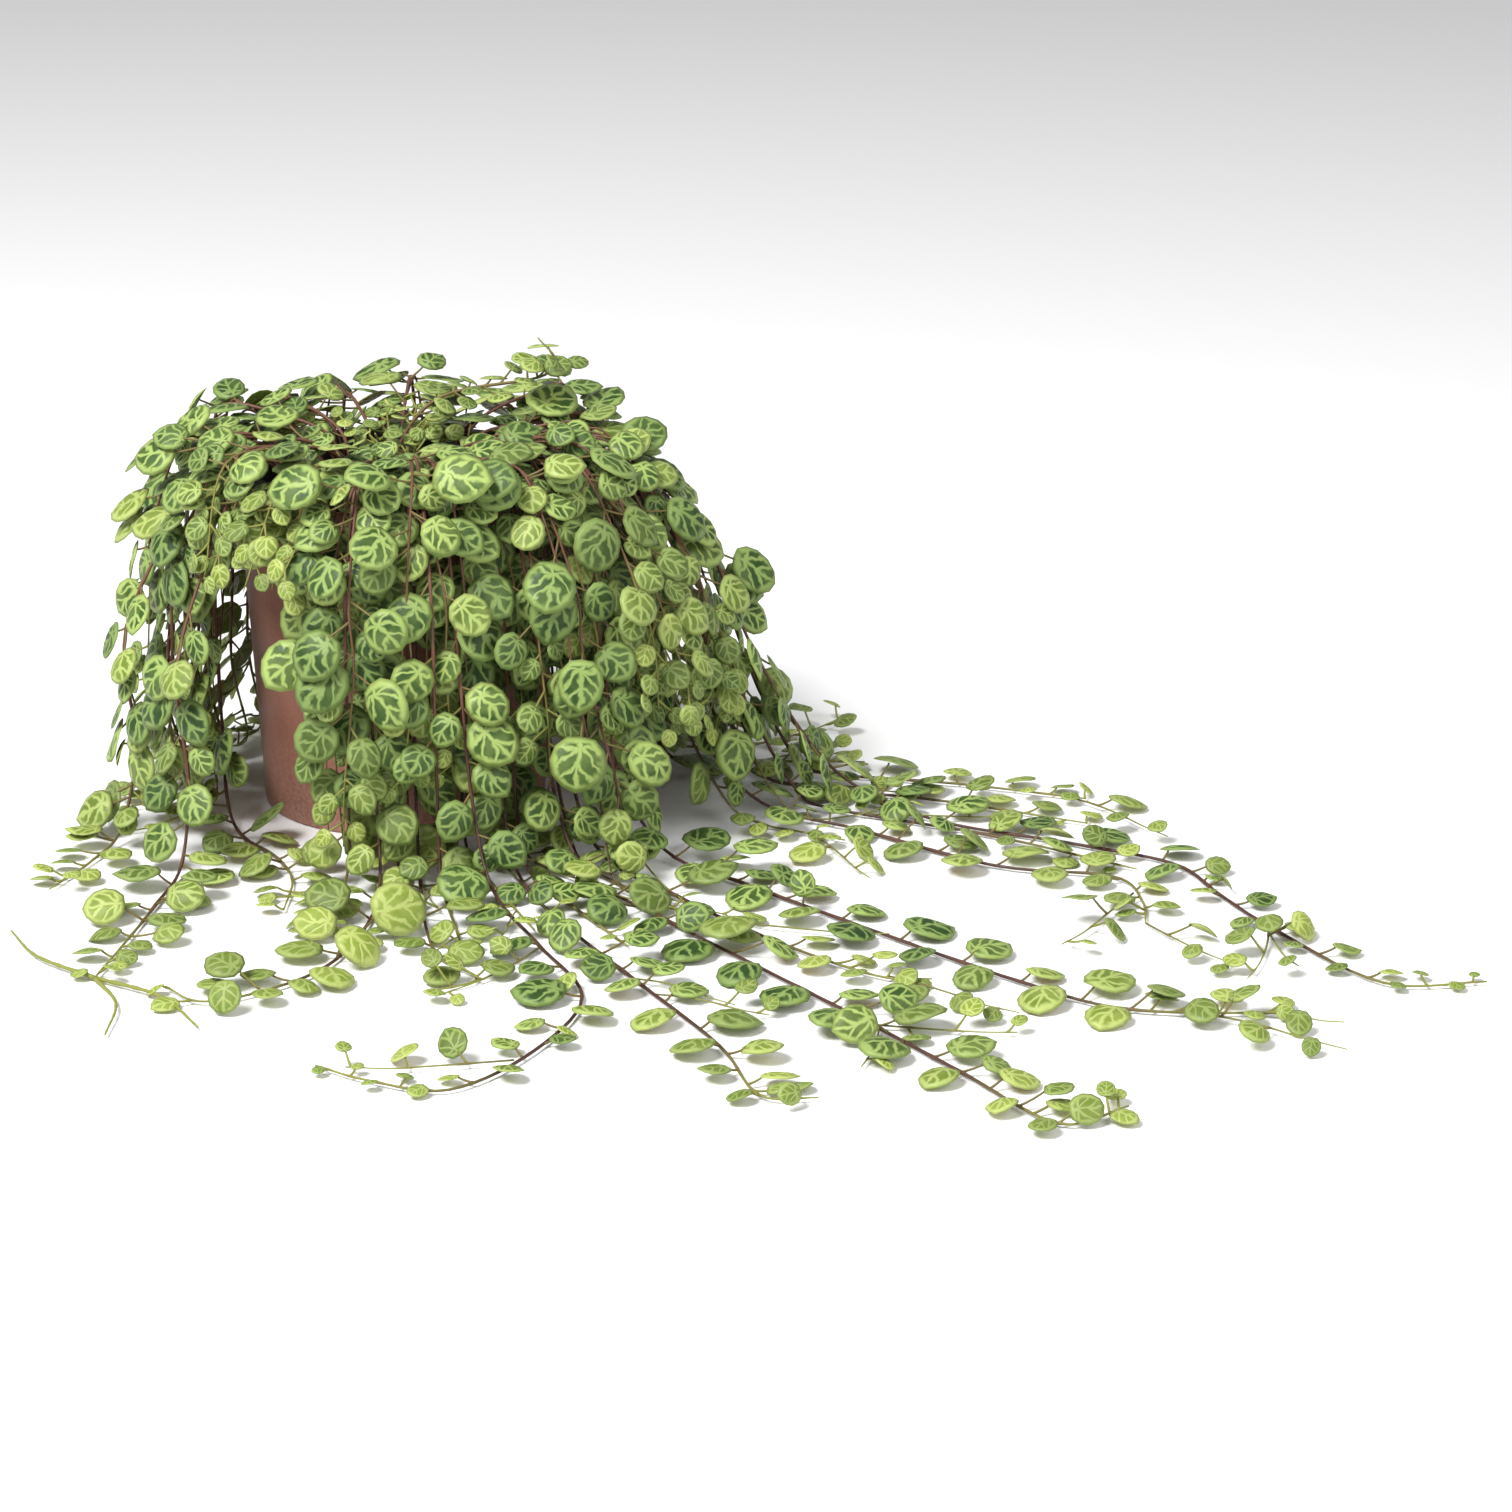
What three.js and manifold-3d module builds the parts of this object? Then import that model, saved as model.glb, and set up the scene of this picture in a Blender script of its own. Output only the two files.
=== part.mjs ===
// A potted string of turtles (Peperomia prostrata): a smooth terracotta cover pot, a black nursery pot
// standing inside it, potting soil, and the vines that grow over the rim, hang down round the pot and
// trail over the surface that it stands on.
// Millimetres, +Z up. The origin is the centre of the cover pot's underside; the front is -Y.
import * as THREE from 'three';
import { mergeVertices } from 'three/addons/utils/BufferGeometryUtils.js';
import Module from 'manifold-3d';

const wasm = await Module();
wasm.setup();

// ---- Driving dimensions (mm, degrees) -------------------------------------------------------------

const gap = 0.3;                    // clearance between pieces that touch

// Cover pot
const potHeight = 100;
const footRadius = 42;              // outside, at the surface it stands on
const shoulderRadius = 46.5;        // outside, just under the collar
const collarRadius = 50.5;          // outside of the collar
const collarHeight = 16;
const potWall = 2.4;
const potFloor = 3;

// Nursery pot
const nurseryWall = 1.2;
const lipDepth = 2.4;               // its lip, which stands over the cover pot's rim
const lipOverhang = 2.2;            // how far its lip turns out
const footPlay = 3;                 // room between its wall and the cover pot, at the foot
const shoulderPlay = 1.2;           // the same at the shoulder
const drainHoleRadius = 3;
const drainHoleCount = 5;

// Soil
const soilBelowRim = 10;
const soilCrown = 2;                // how much higher the soil stands in the middle

// Vines
const stemRadius = 0.8;
const sliver = 0.006;               // corners of one piece stay further apart than this
const stemFloor = 1.3;              // height of a stem's axis where it lies on the surface
const leafRadius = 6.6;             // a full-grown leaf
const youngLeafRadius = 3.2;        // the last leaf at a growing tip
const leafSpacing = 11;             // between leaves along a stem
const petiole = 3.2;
const leafDome = 0.2;               // crown of a leaf, as a share of its radius
const leafBelly = 0.1;              // underside of a leaf, as a share of its radius
const leafClear = 0.85;             // space kept free over and under a leaf
const stalkClear = 1.1;             // space kept free round a leaf's stalk
const stemClear = leafRadius * 0.37; // from a stem's axis to another vine's leaf
const hangClear = 5.5;              // from the collar to the innermost curtain of stems
const curtainDepth = 26;            // from the innermost curtain to the outermost
const crownRise = 9;                // how far the outermost stems arch above the rim
const rootRing = 33;                // radius on which the innermost curtain is rooted
const innerRootRing = 18;           // radius on which the outermost curtain is rooted
const shootRise = 18;               // how far the crown's shoots stand above the rim
const crownRing = 9;                // radius within which the crown's shoots are rooted
const hangingVines = 36;
const crownVines = 9;
const leastTurn = 3.4;              // least angle between two vines where they cross the rim
const fullSide = 0.4;               // where the curtain is fullest, as a share of a turn from -X
const backGap = 24;                 // opening in the curtain at the back, degrees
const backGapStart = 66;            // bearing where that opening starts
const leftShallow = 0.35;           // how much shallower the curtain is at the left and at the back
const rightSlope = 36;              // how much further out the curtain lands at the right front

// ---- Worked-out sizes -----------------------------------------------------------------------------

const bench = 0.4;                                 // lowest that a leaf comes to the surface
const soilTop = potHeight - soilBelowRim;
const nurseryBase = potFloor + gap;
const nurseryFoot = footRadius - potWall - footPlay;
const shoulderZ = potHeight - collarHeight;
const lipZ = potHeight + gap + lipDepth;
const nurseryFlare = (shoulderRadius - potWall - shoulderPlay - nurseryFoot) / (shoulderZ - nurseryBase);
const nurseryTop = nurseryFoot + nurseryFlare * (lipZ - nurseryBase);

const clamp01 = (t) => Math.min(1, Math.max(0, t));

/** Smooth step from 0 at a to 1 at b. */
function ease(a, b, value) {
  const t = clamp01((value - a) / (b - a));
  return t * t * (3 - 2 * t);
}

/** Repeatable random numbers from 0 to 1 (a Lehmer generator). */
function makeRandom(seed) {
  let state = (seed * 7919 + 104729) % 2147483647;
  const next = () => {
    state = (state * 16807) % 2147483647;
    return state / 2147483647;
  };
  next();
  next();
  return next;
}

// ---- Solids ---------------------------------------------------------------------------------------

/** Turn a closed three.js geometry into a manifold solid. */
function solidOf(geometry) {
  const bare = new THREE.BufferGeometry();
  bare.setAttribute('position', geometry.getAttribute('position'));
  bare.setIndex(geometry.getIndex());
  const merged = mergeVertices(bare, 1e-4);
  return new wasm.Manifold(new wasm.Mesh({
    numProp: 3,
    vertProperties: new Float32Array(merged.getAttribute('position').array),
    triVerts: new Uint32Array(merged.getIndex().array),
  }));
}

/** Turn a manifold solid back into a three.js geometry. */
function geometryOf(solid) {
  const mesh = solid.getMesh();
  const geometry = new THREE.BufferGeometry();
  geometry.setAttribute('position', new THREE.BufferAttribute(new Float32Array(mesh.vertProperties), 3));
  geometry.setIndex(new THREE.BufferAttribute(new Uint32Array(mesh.triVerts), 1));
  geometry.computeVertexNormals();
  return geometry;
}

/** A solid of revolution about +Z from a closed outline of [radius, height] points. */
function turned(outline, segments = 36) {
  const points = outline.map(([r, z]) => new THREE.Vector2(r, z));
  const geometry = new THREE.LatheGeometry(points, segments);
  geometry.rotateX(Math.PI / 2);
  return geometry;
}

function coverPot() {
  const round = 1.2;
  const innerFoot = footRadius - potWall;
  const innerTop = collarRadius - potWall;
  const outline = [
    [0, 0],
    [footRadius - round, 0],
    [footRadius, round],
    [shoulderRadius, shoulderZ - round],
    [collarRadius - round, shoulderZ],
    [collarRadius, shoulderZ + round],
    [collarRadius, potHeight - round],
    [collarRadius - potWall / 2, potHeight],
    [innerTop, potHeight - round],
    [shoulderRadius - potWall, shoulderZ],
    [innerFoot, potFloor],
    [0, potFloor],
  ];
  return turned(outline);
}

function nurseryPot() {
  const lipR = nurseryTop + lipOverhang;
  const outline = [
    [0, nurseryBase],
    [nurseryFoot, nurseryBase],
    [nurseryTop - nurseryFlare * lipDepth, lipZ - lipDepth],
    [lipR, lipZ - lipDepth],
    [lipR, lipZ],
    [nurseryTop - nurseryWall, lipZ],
    [nurseryFoot - nurseryWall, nurseryBase + nurseryWall],
    [0, nurseryBase + nurseryWall],
  ];
  let pot = solidOf(turned(outline));
  for (let i = 0; i < drainHoleCount; i += 1) {
    const angle = (i / drainHoleCount) * 2 * Math.PI;
    const hole = new THREE.CylinderGeometry(drainHoleRadius, drainHoleRadius, 4 * nurseryWall, 12);
    hole.rotateX(Math.PI / 2);
    hole.translate(
      Math.cos(angle) * nurseryFoot * 0.6,
      Math.sin(angle) * nurseryFoot * 0.6,
      nurseryBase + nurseryWall / 2,
    );
    pot = pot.subtract(solidOf(hole));
  }
  return geometryOf(pot);
}

/** Inside radius of the nursery pot at a height. */
function nurseryBore(z) {
  const share = (z - nurseryBase - nurseryWall) / (lipZ - nurseryBase - nurseryWall);
  return nurseryFoot - nurseryWall + share * (nurseryTop - nurseryFoot);
}

function pottingSoil() {
  const bottom = nurseryBase + nurseryWall + gap;
  return turned([
    [0, bottom],
    [nurseryBore(bottom) - gap, bottom],
    [nurseryBore(soilTop) - gap, soilTop],
    [nurseryBore(soilTop) * 0.5, soilTop + soilCrown * 0.75],
    [0, soilTop + soilCrown],
  ]);
}

// ---- Stem routes ----------------------------------------------------------------------------------

/** A place given by its bearing round the pot (0 = +X, -90 = front), radius and height. */
function at(bearing, radius, z) {
  const angle = THREE.MathUtils.degToRad(bearing);
  return new THREE.Vector3(Math.cos(angle) * radius, Math.sin(angle) * radius, z);
}

/** Height of the soil's top surface at a radius. */
function soilAt(radius) {
  return soilTop + soilCrown * (1 - radius / nurseryBore(soilTop));
}

/** How much a bearing is at the left or at the back, from 0 to 1. */
function leftward(bearing) {
  return 1 - ease(-120, -100, bearing) * ease(110, 80, bearing);
}

/** How far outside the collar a layer of the curtain hangs: closer in at the left and at the back. */
function hangOut(bearing, layer) {
  return hangClear + curtainDepth * layer * (1 - leftShallow * leftward(bearing));
}

/**
 * The rooted part of a vine: up out of the soil, over the rim and down outside it. layer is 0 for the
 * curtain nearest the pot and 1 for the outermost one.
 */
function overRim(bearing, layer) {
  const root = rootRing + (innerRootRing - rootRing) * layer;
  const out = collarRadius + hangOut(bearing, layer);
  const peak = lipZ + 4 + crownRise * layer;
  return [
    at(bearing, root, soilAt(root) + stemRadius + gap),
    at(bearing, root + 3, soilTop + 9 + 9 * layer),
    at(bearing, root + 0.65 * (nurseryTop - root), peak - 2),
    at(bearing, collarRadius - 2 + 8 * layer, peak),
    at(bearing, out - 3 - 8 * layer, peak - 9 - 4 * layer),
  ];
}

/** Stations along a uniform Catmull-Rom curve through the points, with perSpan steps to each span. */
function smoothed(points, perSpan) {
  const curve = new THREE.CatmullRomCurve3(points, false, 'catmullrom', 0.5);
  return curve.getPoints((points.length - 1) * perSpan);
}

/** The place at a distance along a stem, and the way that the stem runs there. */
function alongStem(points, distance) {
  let rest = distance;
  let i = 0;
  while (i < points.length - 2 && rest > points[i].distanceTo(points[i + 1])) {
    rest -= points[i].distanceTo(points[i + 1]);
    i += 1;
  }
  const along = points[i + 1].clone().sub(points[i]).normalize();
  return { foot: points[i].clone().addScaledVector(along, rest), along };
}

/** Length of a stem. */
function stemLength(points) {
  return points.slice(1).reduce((sum, p, i) => sum + p.distanceTo(points[i]), 0);
}

/** The straight-sided run that a stem's solid follows, through every station. */
class StemRun extends THREE.Curve {
  constructor(points) {
    super();
    this.points = points;
  }

  getPoint(t, target = new THREE.Vector3()) {
    const place = clamp01(t) * (this.points.length - 1);
    const i = Math.min(Math.floor(place), this.points.length - 2);
    return target.lerpVectors(this.points[i], this.points[i + 1], place - i);
  }

  getPointAt(u, target) {
    return this.getPoint(u, target);
  }

  getTangentAt(u, target = new THREE.Vector3()) {
    const step = 0.5 / (this.points.length - 1);
    const before = this.getPoint(Math.max(0, u - step));
    return target.copy(this.getPoint(Math.min(1, u + step))).sub(before).normalize();
  }
}

/** A three-sided stem along its stations. */
function stemSolid(points, radius) {
  const section = new THREE.Shape();
  for (let i = 0; i < 3; i += 1) {
    const angle = (i / 3) * 2 * Math.PI;
    const corner = [Math.cos(angle) * radius * 1.15, Math.sin(angle) * radius * 1.15];
    if (i === 0) section.moveTo(...corner);
    else section.lineTo(...corner);
  }
  const geometry = new THREE.ExtrudeGeometry(section, {
    steps: points.length - 1,
    bevelEnabled: false,
    extrudePath: new StemRun(points),
  });
  return solidOf(geometry);
}

// ---- Leaves ---------------------------------------------------------------------------------------

/** The way that foliage faces at a place: out from the pot, and up on the crown and on the surface. */
function facing(p) {
  const r = Math.max(1, Math.hypot(p.x, p.y));
  const crown = ease(potHeight - 18, potHeight + 14, p.z) * (1 - 0.5 * ease(25, 85, r));
  const up = Math.max(crown, ease(16, 3, p.z));
  return new THREE.Vector3((p.x / r) * (1 - up), (p.y / r) * (1 - up), up + 0.12).normalize();
}

/**
 * One leaf's frame: foot on the stem, centre, axis from foot to tip, cross axis, normal and radius.
 * The try number turns it further round the stem, and the last tries make it smaller.
 */
function leafFrame(foot, along, side, size, draws, attempt) {
  const out = facing(foot);
  const swing = [0, 0.5, -0.5, 1, 0.2, -1, 0.6][attempt];
  const radius = size * [1, 1, 1, 0.92, 0.8, 0.8, 0.66][attempt];
  const across = new THREE.Vector3().crossVectors(out, along).normalize().multiplyScalar(side);
  const hang = ease(6, 24, foot.z) * ease(potHeight + 22, potHeight - 6, foot.z);
  const stalk = across.clone().multiplyScalar(0.85)
    .addScaledVector(along, 0.3 + 0.3 * (draws[0] - 0.5))
    .addScaledVector(out, 0.42 + 0.55 * swing + 0.3 * draws[1])
    .addScaledVector(new THREE.Vector3(0, 0, -1), 0.25 * hang)
    .normalize();
  const normal = out.clone()
    .addScaledVector(across, 0.5 * (draws[2] - 0.35) + 0.15 * swing)
    .addScaledVector(along, 0.55 * (draws[3] - 0.5))
    .addScaledVector(new THREE.Vector3(0, 0, 1), 0.25)
    .normalize();
  const axis = stalk.clone()
    .addScaledVector(new THREE.Vector3(0, 0, -1), 0.45 * hang)
    .projectOnPlane(normal)
    .normalize();
  const centre = foot.clone()
    .addScaledVector(stalk, petiole * (0.55 + 0.6 * radius / leafRadius))
    .addScaledVector(axis, radius * 0.92);
  const cross = new THREE.Vector3().crossVectors(normal, axis);
  const dip = radius * (Math.hypot(axis.z, cross.z) + leafBelly);
  centre.z += Math.max(0, bench + dip - centre.z);
  return { foot, centre, axis, cross, normal, radius };
}

/** A point of a leaf's blade from its frame, as shares of the radius along, across and above. */
function onLeaf(leaf, along, across, above = 0) {
  return leaf.centre.clone()
    .addScaledVector(leaf.axis, along * leaf.radius)
    .addScaledVector(leaf.cross, across * leaf.radius)
    .addScaledVector(leaf.normal, above * leaf.radius);
}

/** The stalk's middle line and its two edges, from the foot to the back of the blade. */
function stalkLines(leaf) {
  return [-0.79, 0, 0.79].map((across) => new THREE.Line3(leaf.foot, onLeaf(leaf, -0.79, across)));
}

/** Points spread over a leaf and its stalk, used to see what it touches. */
function leafSamples(leaf) {
  const points = [leaf.centre.clone()];
  for (const line of stalkLines(leaf)) {
    for (const share of [0.3, 0.55, 0.8, 0.95]) points.push(line.at(share, new THREE.Vector3()));
  }
  for (const [share, count] of [[0.55, 8], [1.1, 16]]) {
    for (let i = 0; i < count; i += 1) {
      const angle = (i / count) * 2 * Math.PI;
      points.push(onLeaf(leaf, share * Math.cos(angle), share * Math.sin(angle)));
    }
  }
  return points;
}

/** Whether a point lies in the flat space that a leaf keeps free. */
function inLeafSpace(leaf, p) {
  const from = p.clone().sub(leaf.centre);
  const half = 0.5 * leafDome * leaf.radius;
  const height = Math.abs(from.dot(leaf.normal) - half);
  if (height < half + leafClear && from.length() < 1.1 * leaf.radius + 0.6) return true;
  const near = new THREE.Vector3();
  return stalkLines(leaf).some((line) => (
    line.closestPointToPoint(p, true, near).distanceTo(p) < stalkClear));
}

/** Whether a point lies in or near the pots or the soil. */
function inPot(p) {
  const r = Math.hypot(p.x, p.y);
  const overRim = p.z > lipZ + 1.4;
  const outside = r > collarRadius + 1.2;
  const inside = r < nurseryTop - nurseryWall - 1.5 && p.z > soilTop + soilCrown + 1;
  return !(overRim || outside || inside);
}

const placedLeaves = [];
const placedStems = [];

/** Shortest distance from a point to a stem's run. */
function stemDistance(points, p) {
  let nearest = Infinity;
  const line = new THREE.Line3();
  const foot = new THREE.Vector3();
  for (let i = 0; i < points.length - 1; i += 1) {
    line.set(points[i], points[i + 1]);
    line.closestPointToPoint(p, true, foot);
    nearest = Math.min(nearest, foot.distanceTo(p));
  }
  return nearest;
}

/** Whether a leaf is clear of the pots, the other leaves and the other vines' stems. */
function isFree(leaf, ownStem) {
  const samples = leafSamples(leaf);
  if (samples.some(inPot)) return false;
  for (const other of placedLeaves) {
    const reach = leaf.radius + other.radius + 2 * petiole;
    if (other.leaf.centre.distanceTo(leaf.centre) > reach) continue;
    if (samples.some((p) => inLeafSpace(other.leaf, p))) return false;
    if (other.samples.some((p) => inLeafSpace(leaf, p))) return false;
    const stalks = other.leaf.foot.distanceTo(leaf.foot);
    if (other.stem !== ownStem && stalks < 2 * stemRadius + gap) return false;
  }
  for (const stem of placedStems) {
    if (stem.owner === ownStem) continue;
    if (stem.middle.distanceTo(leaf.centre) > stem.reach + leaf.radius + petiole) continue;
    if (samples.some((p) => stemDistance(stem.points, p) < stemClear)) return false;
    if (stem.points.some((p) => inLeafSpace(leaf, p))) return false;
  }
  return true;
}

/**
 * A low solid for a leaf: a four-cornered blade with a crown and a belly, drawn in to a point at its
 * foot on the stem. The stalk's own face lies over the blade when the foot is lower than the blade,
 * and under it when the foot is higher.
 */
function leafSolid(leaf) {
  const diagonal = Math.SQRT1_2 * 1.12;
  const blade = [[-1, -1], [1, -1], [1, 1], [-1, 1]].map(([along, across]) => (
    onLeaf(leaf, along * diagonal, across * diagonal)));
  const corners = [leaf.foot, ...blade, onLeaf(leaf, 0, 0, leafDome), onLeaf(leaf, 0, 0, -leafBelly)];
  const [foot, crown, belly] = [0, 5, 6];
  const footIsLow = leaf.foot.clone().sub(leaf.centre).dot(leaf.normal) < 0;
  const [near, far] = footIsLow ? [crown, belly] : [belly, crown];
  const faces = [];
  const addFace = (apex, a, b) => (apex === crown ? faces.push(apex, a, b) : faces.push(apex, b, a));
  for (const [a, b] of [[1, 2], [2, 3], [3, 4]]) {
    addFace(near, a, b);
    addFace(far, a, b);
  }
  addFace(near, 4, 1);
  addFace(far, 4, foot);
  addFace(far, foot, 1);
  if (footIsLow) faces.push(foot, 1, 4);
  else faces.push(foot, 4, 1);
  const geometry = new THREE.BufferGeometry().setFromPoints(corners);
  geometry.setIndex(faces);
  return solidOf(geometry);
}

/** Whether no two corners of a solid lie closer together than a sliver. */
function isClean(solid) {
  const p = solid.getMesh().vertProperties;
  const near = (i, j) => Math.abs(p[i] - p[j]) < sliver;
  for (let i = 0; i < p.length; i += 3) {
    for (let j = 0; j < i; j += 3) {
      if (near(i, j) && near(i + 1, j + 1) && near(i + 2, j + 2)) return false;
    }
  }
  return true;
}

/** A plant with one more leaf, whose foot is shifted a little where the joint would leave a sliver. */
function withLeaf(plant, leaf) {
  let joined = plant;
  for (let shift = 0; shift < 8; shift += 1) {
    const foot = leaf.foot.clone().addScaledVector(leaf.axis, shift * 4 * sliver);
    joined = plant.add(leafSolid({ ...leaf, foot }));
    if (isClean(joined)) break;
  }
  return joined;
}

// ---- Vines ----------------------------------------------------------------------------------------

const hang = (bearing, radius, z) => at(bearing, collarRadius + radius, z);
const lie = (bearing, beyond, lift = 0) => at(bearing, collarRadius + beyond, stemFloor + lift);

// The vines that trail over the surface, one by one: bearing and layer where they cross the rim, then
// their places, given by bearing and distance beyond the collar.
const trailing = [
  { bearing: -3, layer: 0.9, bare: 0.3, route: [hang(-6, 38, 88), hang(-7, 54, 52), hang(-5, 70, 22),
    hang(-4, 86, 5), lie(-11, 113), lie(-14.5, 154), lie(-17, 186), lie(-22, 205), lie(-26.5, 228),
    lie(-31, 268), lie(-28.5, 292)] },
  { bearing: -13, layer: 0.7, bare: 0.2, route: [hang(-14, 32, 60), hang(-14, 42, 26), hang(-13, 60, 5),
    lie(-16, 92), lie(-22, 138), lie(-21, 172), lie(-25, 186), lie(-29, 194)] },
  { bearing: -37, layer: 0.6, bare: 0.1, route: [hang(-38, 27, 60), hang(-39, 34, 26), hang(-39, 52, 4),
    lie(-40, 86), lie(-42, 138), lie(-42.8, 190), lie(-42, 224), lie(-37.2, 258)] },
  { bearing: -47, layer: 0.4, bare: 0.1, route: [hang(-47, 22, 58), hang(-48, 28, 25), hang(-48, 42, 4),
    lie(-49, 78), lie(-50, 122), lie(-49, 160), lie(-46.5, 172)] },
  { bearing: -56, layer: 0.75, bare: 0.1, route: [hang(-56, 30, 58), hang(-56, 36, 24), hang(-55.5, 52, 4),
    lie(-55, 90), lie(-55, 136), lie(-55, 182), lie(-55.2, 226), lie(-55.3, 266), lie(-51.5, 268)] },
  { bearing: -66, layer: 0.5, bare: 0.1, route: [hang(-66, 26, 58), hang(-66, 32, 24), hang(-66, 46, 4),
    lie(-66, 86), lie(-65.5, 132), lie(-65.2, 180), lie(-66.2, 214), lie(-63.5, 222)] },
  { bearing: -74, layer: 0.85, bare: 0.1, route: [hang(-74, 33, 58), hang(-73, 39, 24), hang(-72, 54, 4),
    lie(-71, 92), lie(-71, 134), lie(-77, 168), lie(-83, 190), lie(-88, 182), lie(-91.5, 172)] },
  { bearing: -83, layer: 0.3, bare: 0.1, route: [hang(-83, 18, 58), hang(-83, 24, 24), hang(-83, 40, 4),
    lie(-83, 72), lie(-82, 96), lie(-79, 114), lie(-84, 122)] },
  { bearing: -93, layer: 0.6, bare: 0.1, route: [hang(-92, 27, 58), hang(-91, 32, 24), hang(-90, 44, 4),
    lie(-91, 74), lie(-94, 104), lie(-99, 124), lie(-103, 132), lie(-107, 124)] },
  { bearing: -166, layer: 0.1, bare: 0.35, route: [hang(-165, 5, 62), hang(-162, 5, 30),
    hang(-152, 7, 7), lie(-136, 12), lie(-118, 20), lie(-107.5, 36), lie(-103.5, 60)] },
  { bearing: -137, layer: 0.95, bare: 0.4, spikes: true, route: [hang(-135, 33, 60), hang(-131, 36, 26),
    hang(-127, 46, 4), lie(-121, 70), lie(-116.5, 98), lie(-113.8, 125)] },
  { bearing: -157, layer: 1, bare: 0.1, route: [hang(-156, 34, 62), hang(-153, 34, 28),
    hang(-149, 42, 5), lie(-142, 58), lie(-136, 80)] },
];

const takenBearings = trailing.map((vine) => vine.bearing);

/** The next bearing at or after this one that no vine has taken yet. */
function freeBearing(wanted) {
  let bearing = wanted;
  while (takenBearings.some((taken) => Math.abs(taken - bearing) < leastTurn)) bearing += leastTurn / 4;
  takenBearings.push(bearing);
  return bearing;
}

/** How low the curtain hangs at a bearing: open at the left front, part open at the right front. */
function curtainFoot(bearing, draw) {
  if (bearing > -152 && bearing < -104) return potHeight * (0.74 + 0.16 * draw);
  if (bearing > -44 && bearing < -20) return potHeight * (0.36 + 0.2 * draw);
  return 0;
}

/** A vine that hangs beside the pot and runs a little way over the surface. */
function hangingVine(index) {
  const draw = makeRandom(100 + index);
  const turn = (index + 0.5) / hangingVines;
  const crowding = 0.045 * Math.sin(2 * Math.PI * (turn - fullSide));
  const even = -180 + (360 - backGap) * (turn - crowding) + 2 * (draw() - 0.5);
  const bearing = freeBearing(even < backGapStart ? even : even + backGap);
  const layer = [0.15, 0.8, 0.4, 1, 0, 0.6][index % 6];
  const foot = curtainFoot(bearing, draw());
  const toRight = ease(-110, -50, bearing) * ease(35, -5, bearing);
  const out = hangOut(bearing, layer);
  const toLeft = leftward(bearing);
  const spread = (16 + 30 * draw()) * (1 - 0.75 * toLeft) + 75 * toRight * draw();
  const slope = rightSlope * ease(-72, -34, bearing) * ease(35, -5, bearing);
  const drift = -0.11 * ease(-50, 0, bearing) * ease(40, 10, bearing);
  const heights = [0.82, 0.56, 0.3].filter((share) => potHeight * share > foot + 8);
  const route = heights.map((share) => (
    hang(bearing, out + (1 - share) * (6 + slope), potHeight * share)));
  if (foot > 0) route.push(hang(bearing, out + 3, foot));
  else {
    const landing = out + slope + 18 - 8 * toLeft;
    route.push(hang(bearing, landing - 11, 7));
    route.push(lie(bearing, landing, 0.4));
    route.push(lie(bearing + drift * spread * 0.5, landing + spread * 0.5));
    route.push(lie(bearing + drift * spread, landing + spread));
  }
  return { bearing, layer, bare: 0, route };
}

/** A short shoot in the middle of the crown, inside the ring where the outermost stems are rooted. */
function crownVine(index) {
  const draw = makeRandom(300 + index);
  const bearing = 15 + (index / (crownVines - 1)) * 360;
  const root = crownRing * (index % 2 === 0 ? 1 : 0.45);
  const foot = soilAt(root) + stemRadius + gap;
  const rise = potHeight + shootRise * (0.5 + 0.5 * draw()) - foot;
  const route = [
    at(bearing, root, foot),
    at(bearing, root + 1, foot + rise * 0.35),
    at(bearing, root + 3, foot + rise * 0.7),
    at(bearing, root + 7, foot + rise),
  ];
  return { bearing, route, crown: true, bare: 0.3 };
}

// The thin upright shoot that stands above the crown.
const sprig = {
  crown: true,
  bare: 0.3,
  young: true,
  route: [at(20, 0.2, soilAt(0) + stemRadius + gap), at(20, 0.8, potHeight + 8), at(14, 14, potHeight + 22),
    at(8, 42, potHeight + 27), at(4, 47, potHeight + 33), at(2, 42, potHeight + 40)],
};

/** The stations of a vine's stem. */
function routeOf(vine) {
  const start = vine.crown ? [] : overRim(vine.bearing, vine.layer);
  return [...start, ...vine.route];
}

/** Put leaves on alternate sides of a stem wherever one is free to grow. */
function growLeaves(vine, points, seed) {
  const draw = makeRandom(seed);
  const length = stemLength(points);
  const leaves = [];
  let side = draw() < 0.5 ? -1 : 1;
  let s = Math.max(10, length * vine.bare);
  while (s < length - 1) {
    const draws = [draw(), draw(), draw(), draw(), draw()];
    const toTip = (length - s) / 60;
    const grown = vine.young ? 0.35 : clamp01(toTip);
    const size = (youngLeafRadius + (leafRadius - youngLeafRadius) * grown) * (0.8 + 0.4 * draws[4]);
    const { foot, along } = alongStem(points, s);
    if (!inPot(foot) || foot.z > potHeight) {
      for (let attempt = 0; attempt < 7; attempt += 1) {
        const leaf = leafFrame(foot, along, side, size, draws, attempt);
        if (isFree(leaf, points)) {
          leaves.push(leaf);
          placedLeaves.push({ leaf, radius: leaf.radius, samples: leafSamples(leaf), stem: points });
          break;
        }
      }
    }
    side = -side;
    s += leafSpacing * (0.55 + 0.45 * grown) * (0.85 + 0.3 * draws[1]);
  }
  return leaves;
}

/** The points of thin flower spikes that lie on the surface, from the tip of a stem. */
function flowerSpikes(points) {
  const start = points[points.length - 1];
  return [[128, 46], [-78, 42], [-48, 48]].map(([bearing, length]) => {
    const tip = start.clone().add(at(bearing, length, 0));
    const middle = start.clone().lerp(tip, 0.5).add(at(bearing + 90, length * 0.1, 0.4));
    return smoothed([start, middle, tip], 2);
  });
}

// ---- Assembly -------------------------------------------------------------------------------------

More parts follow.
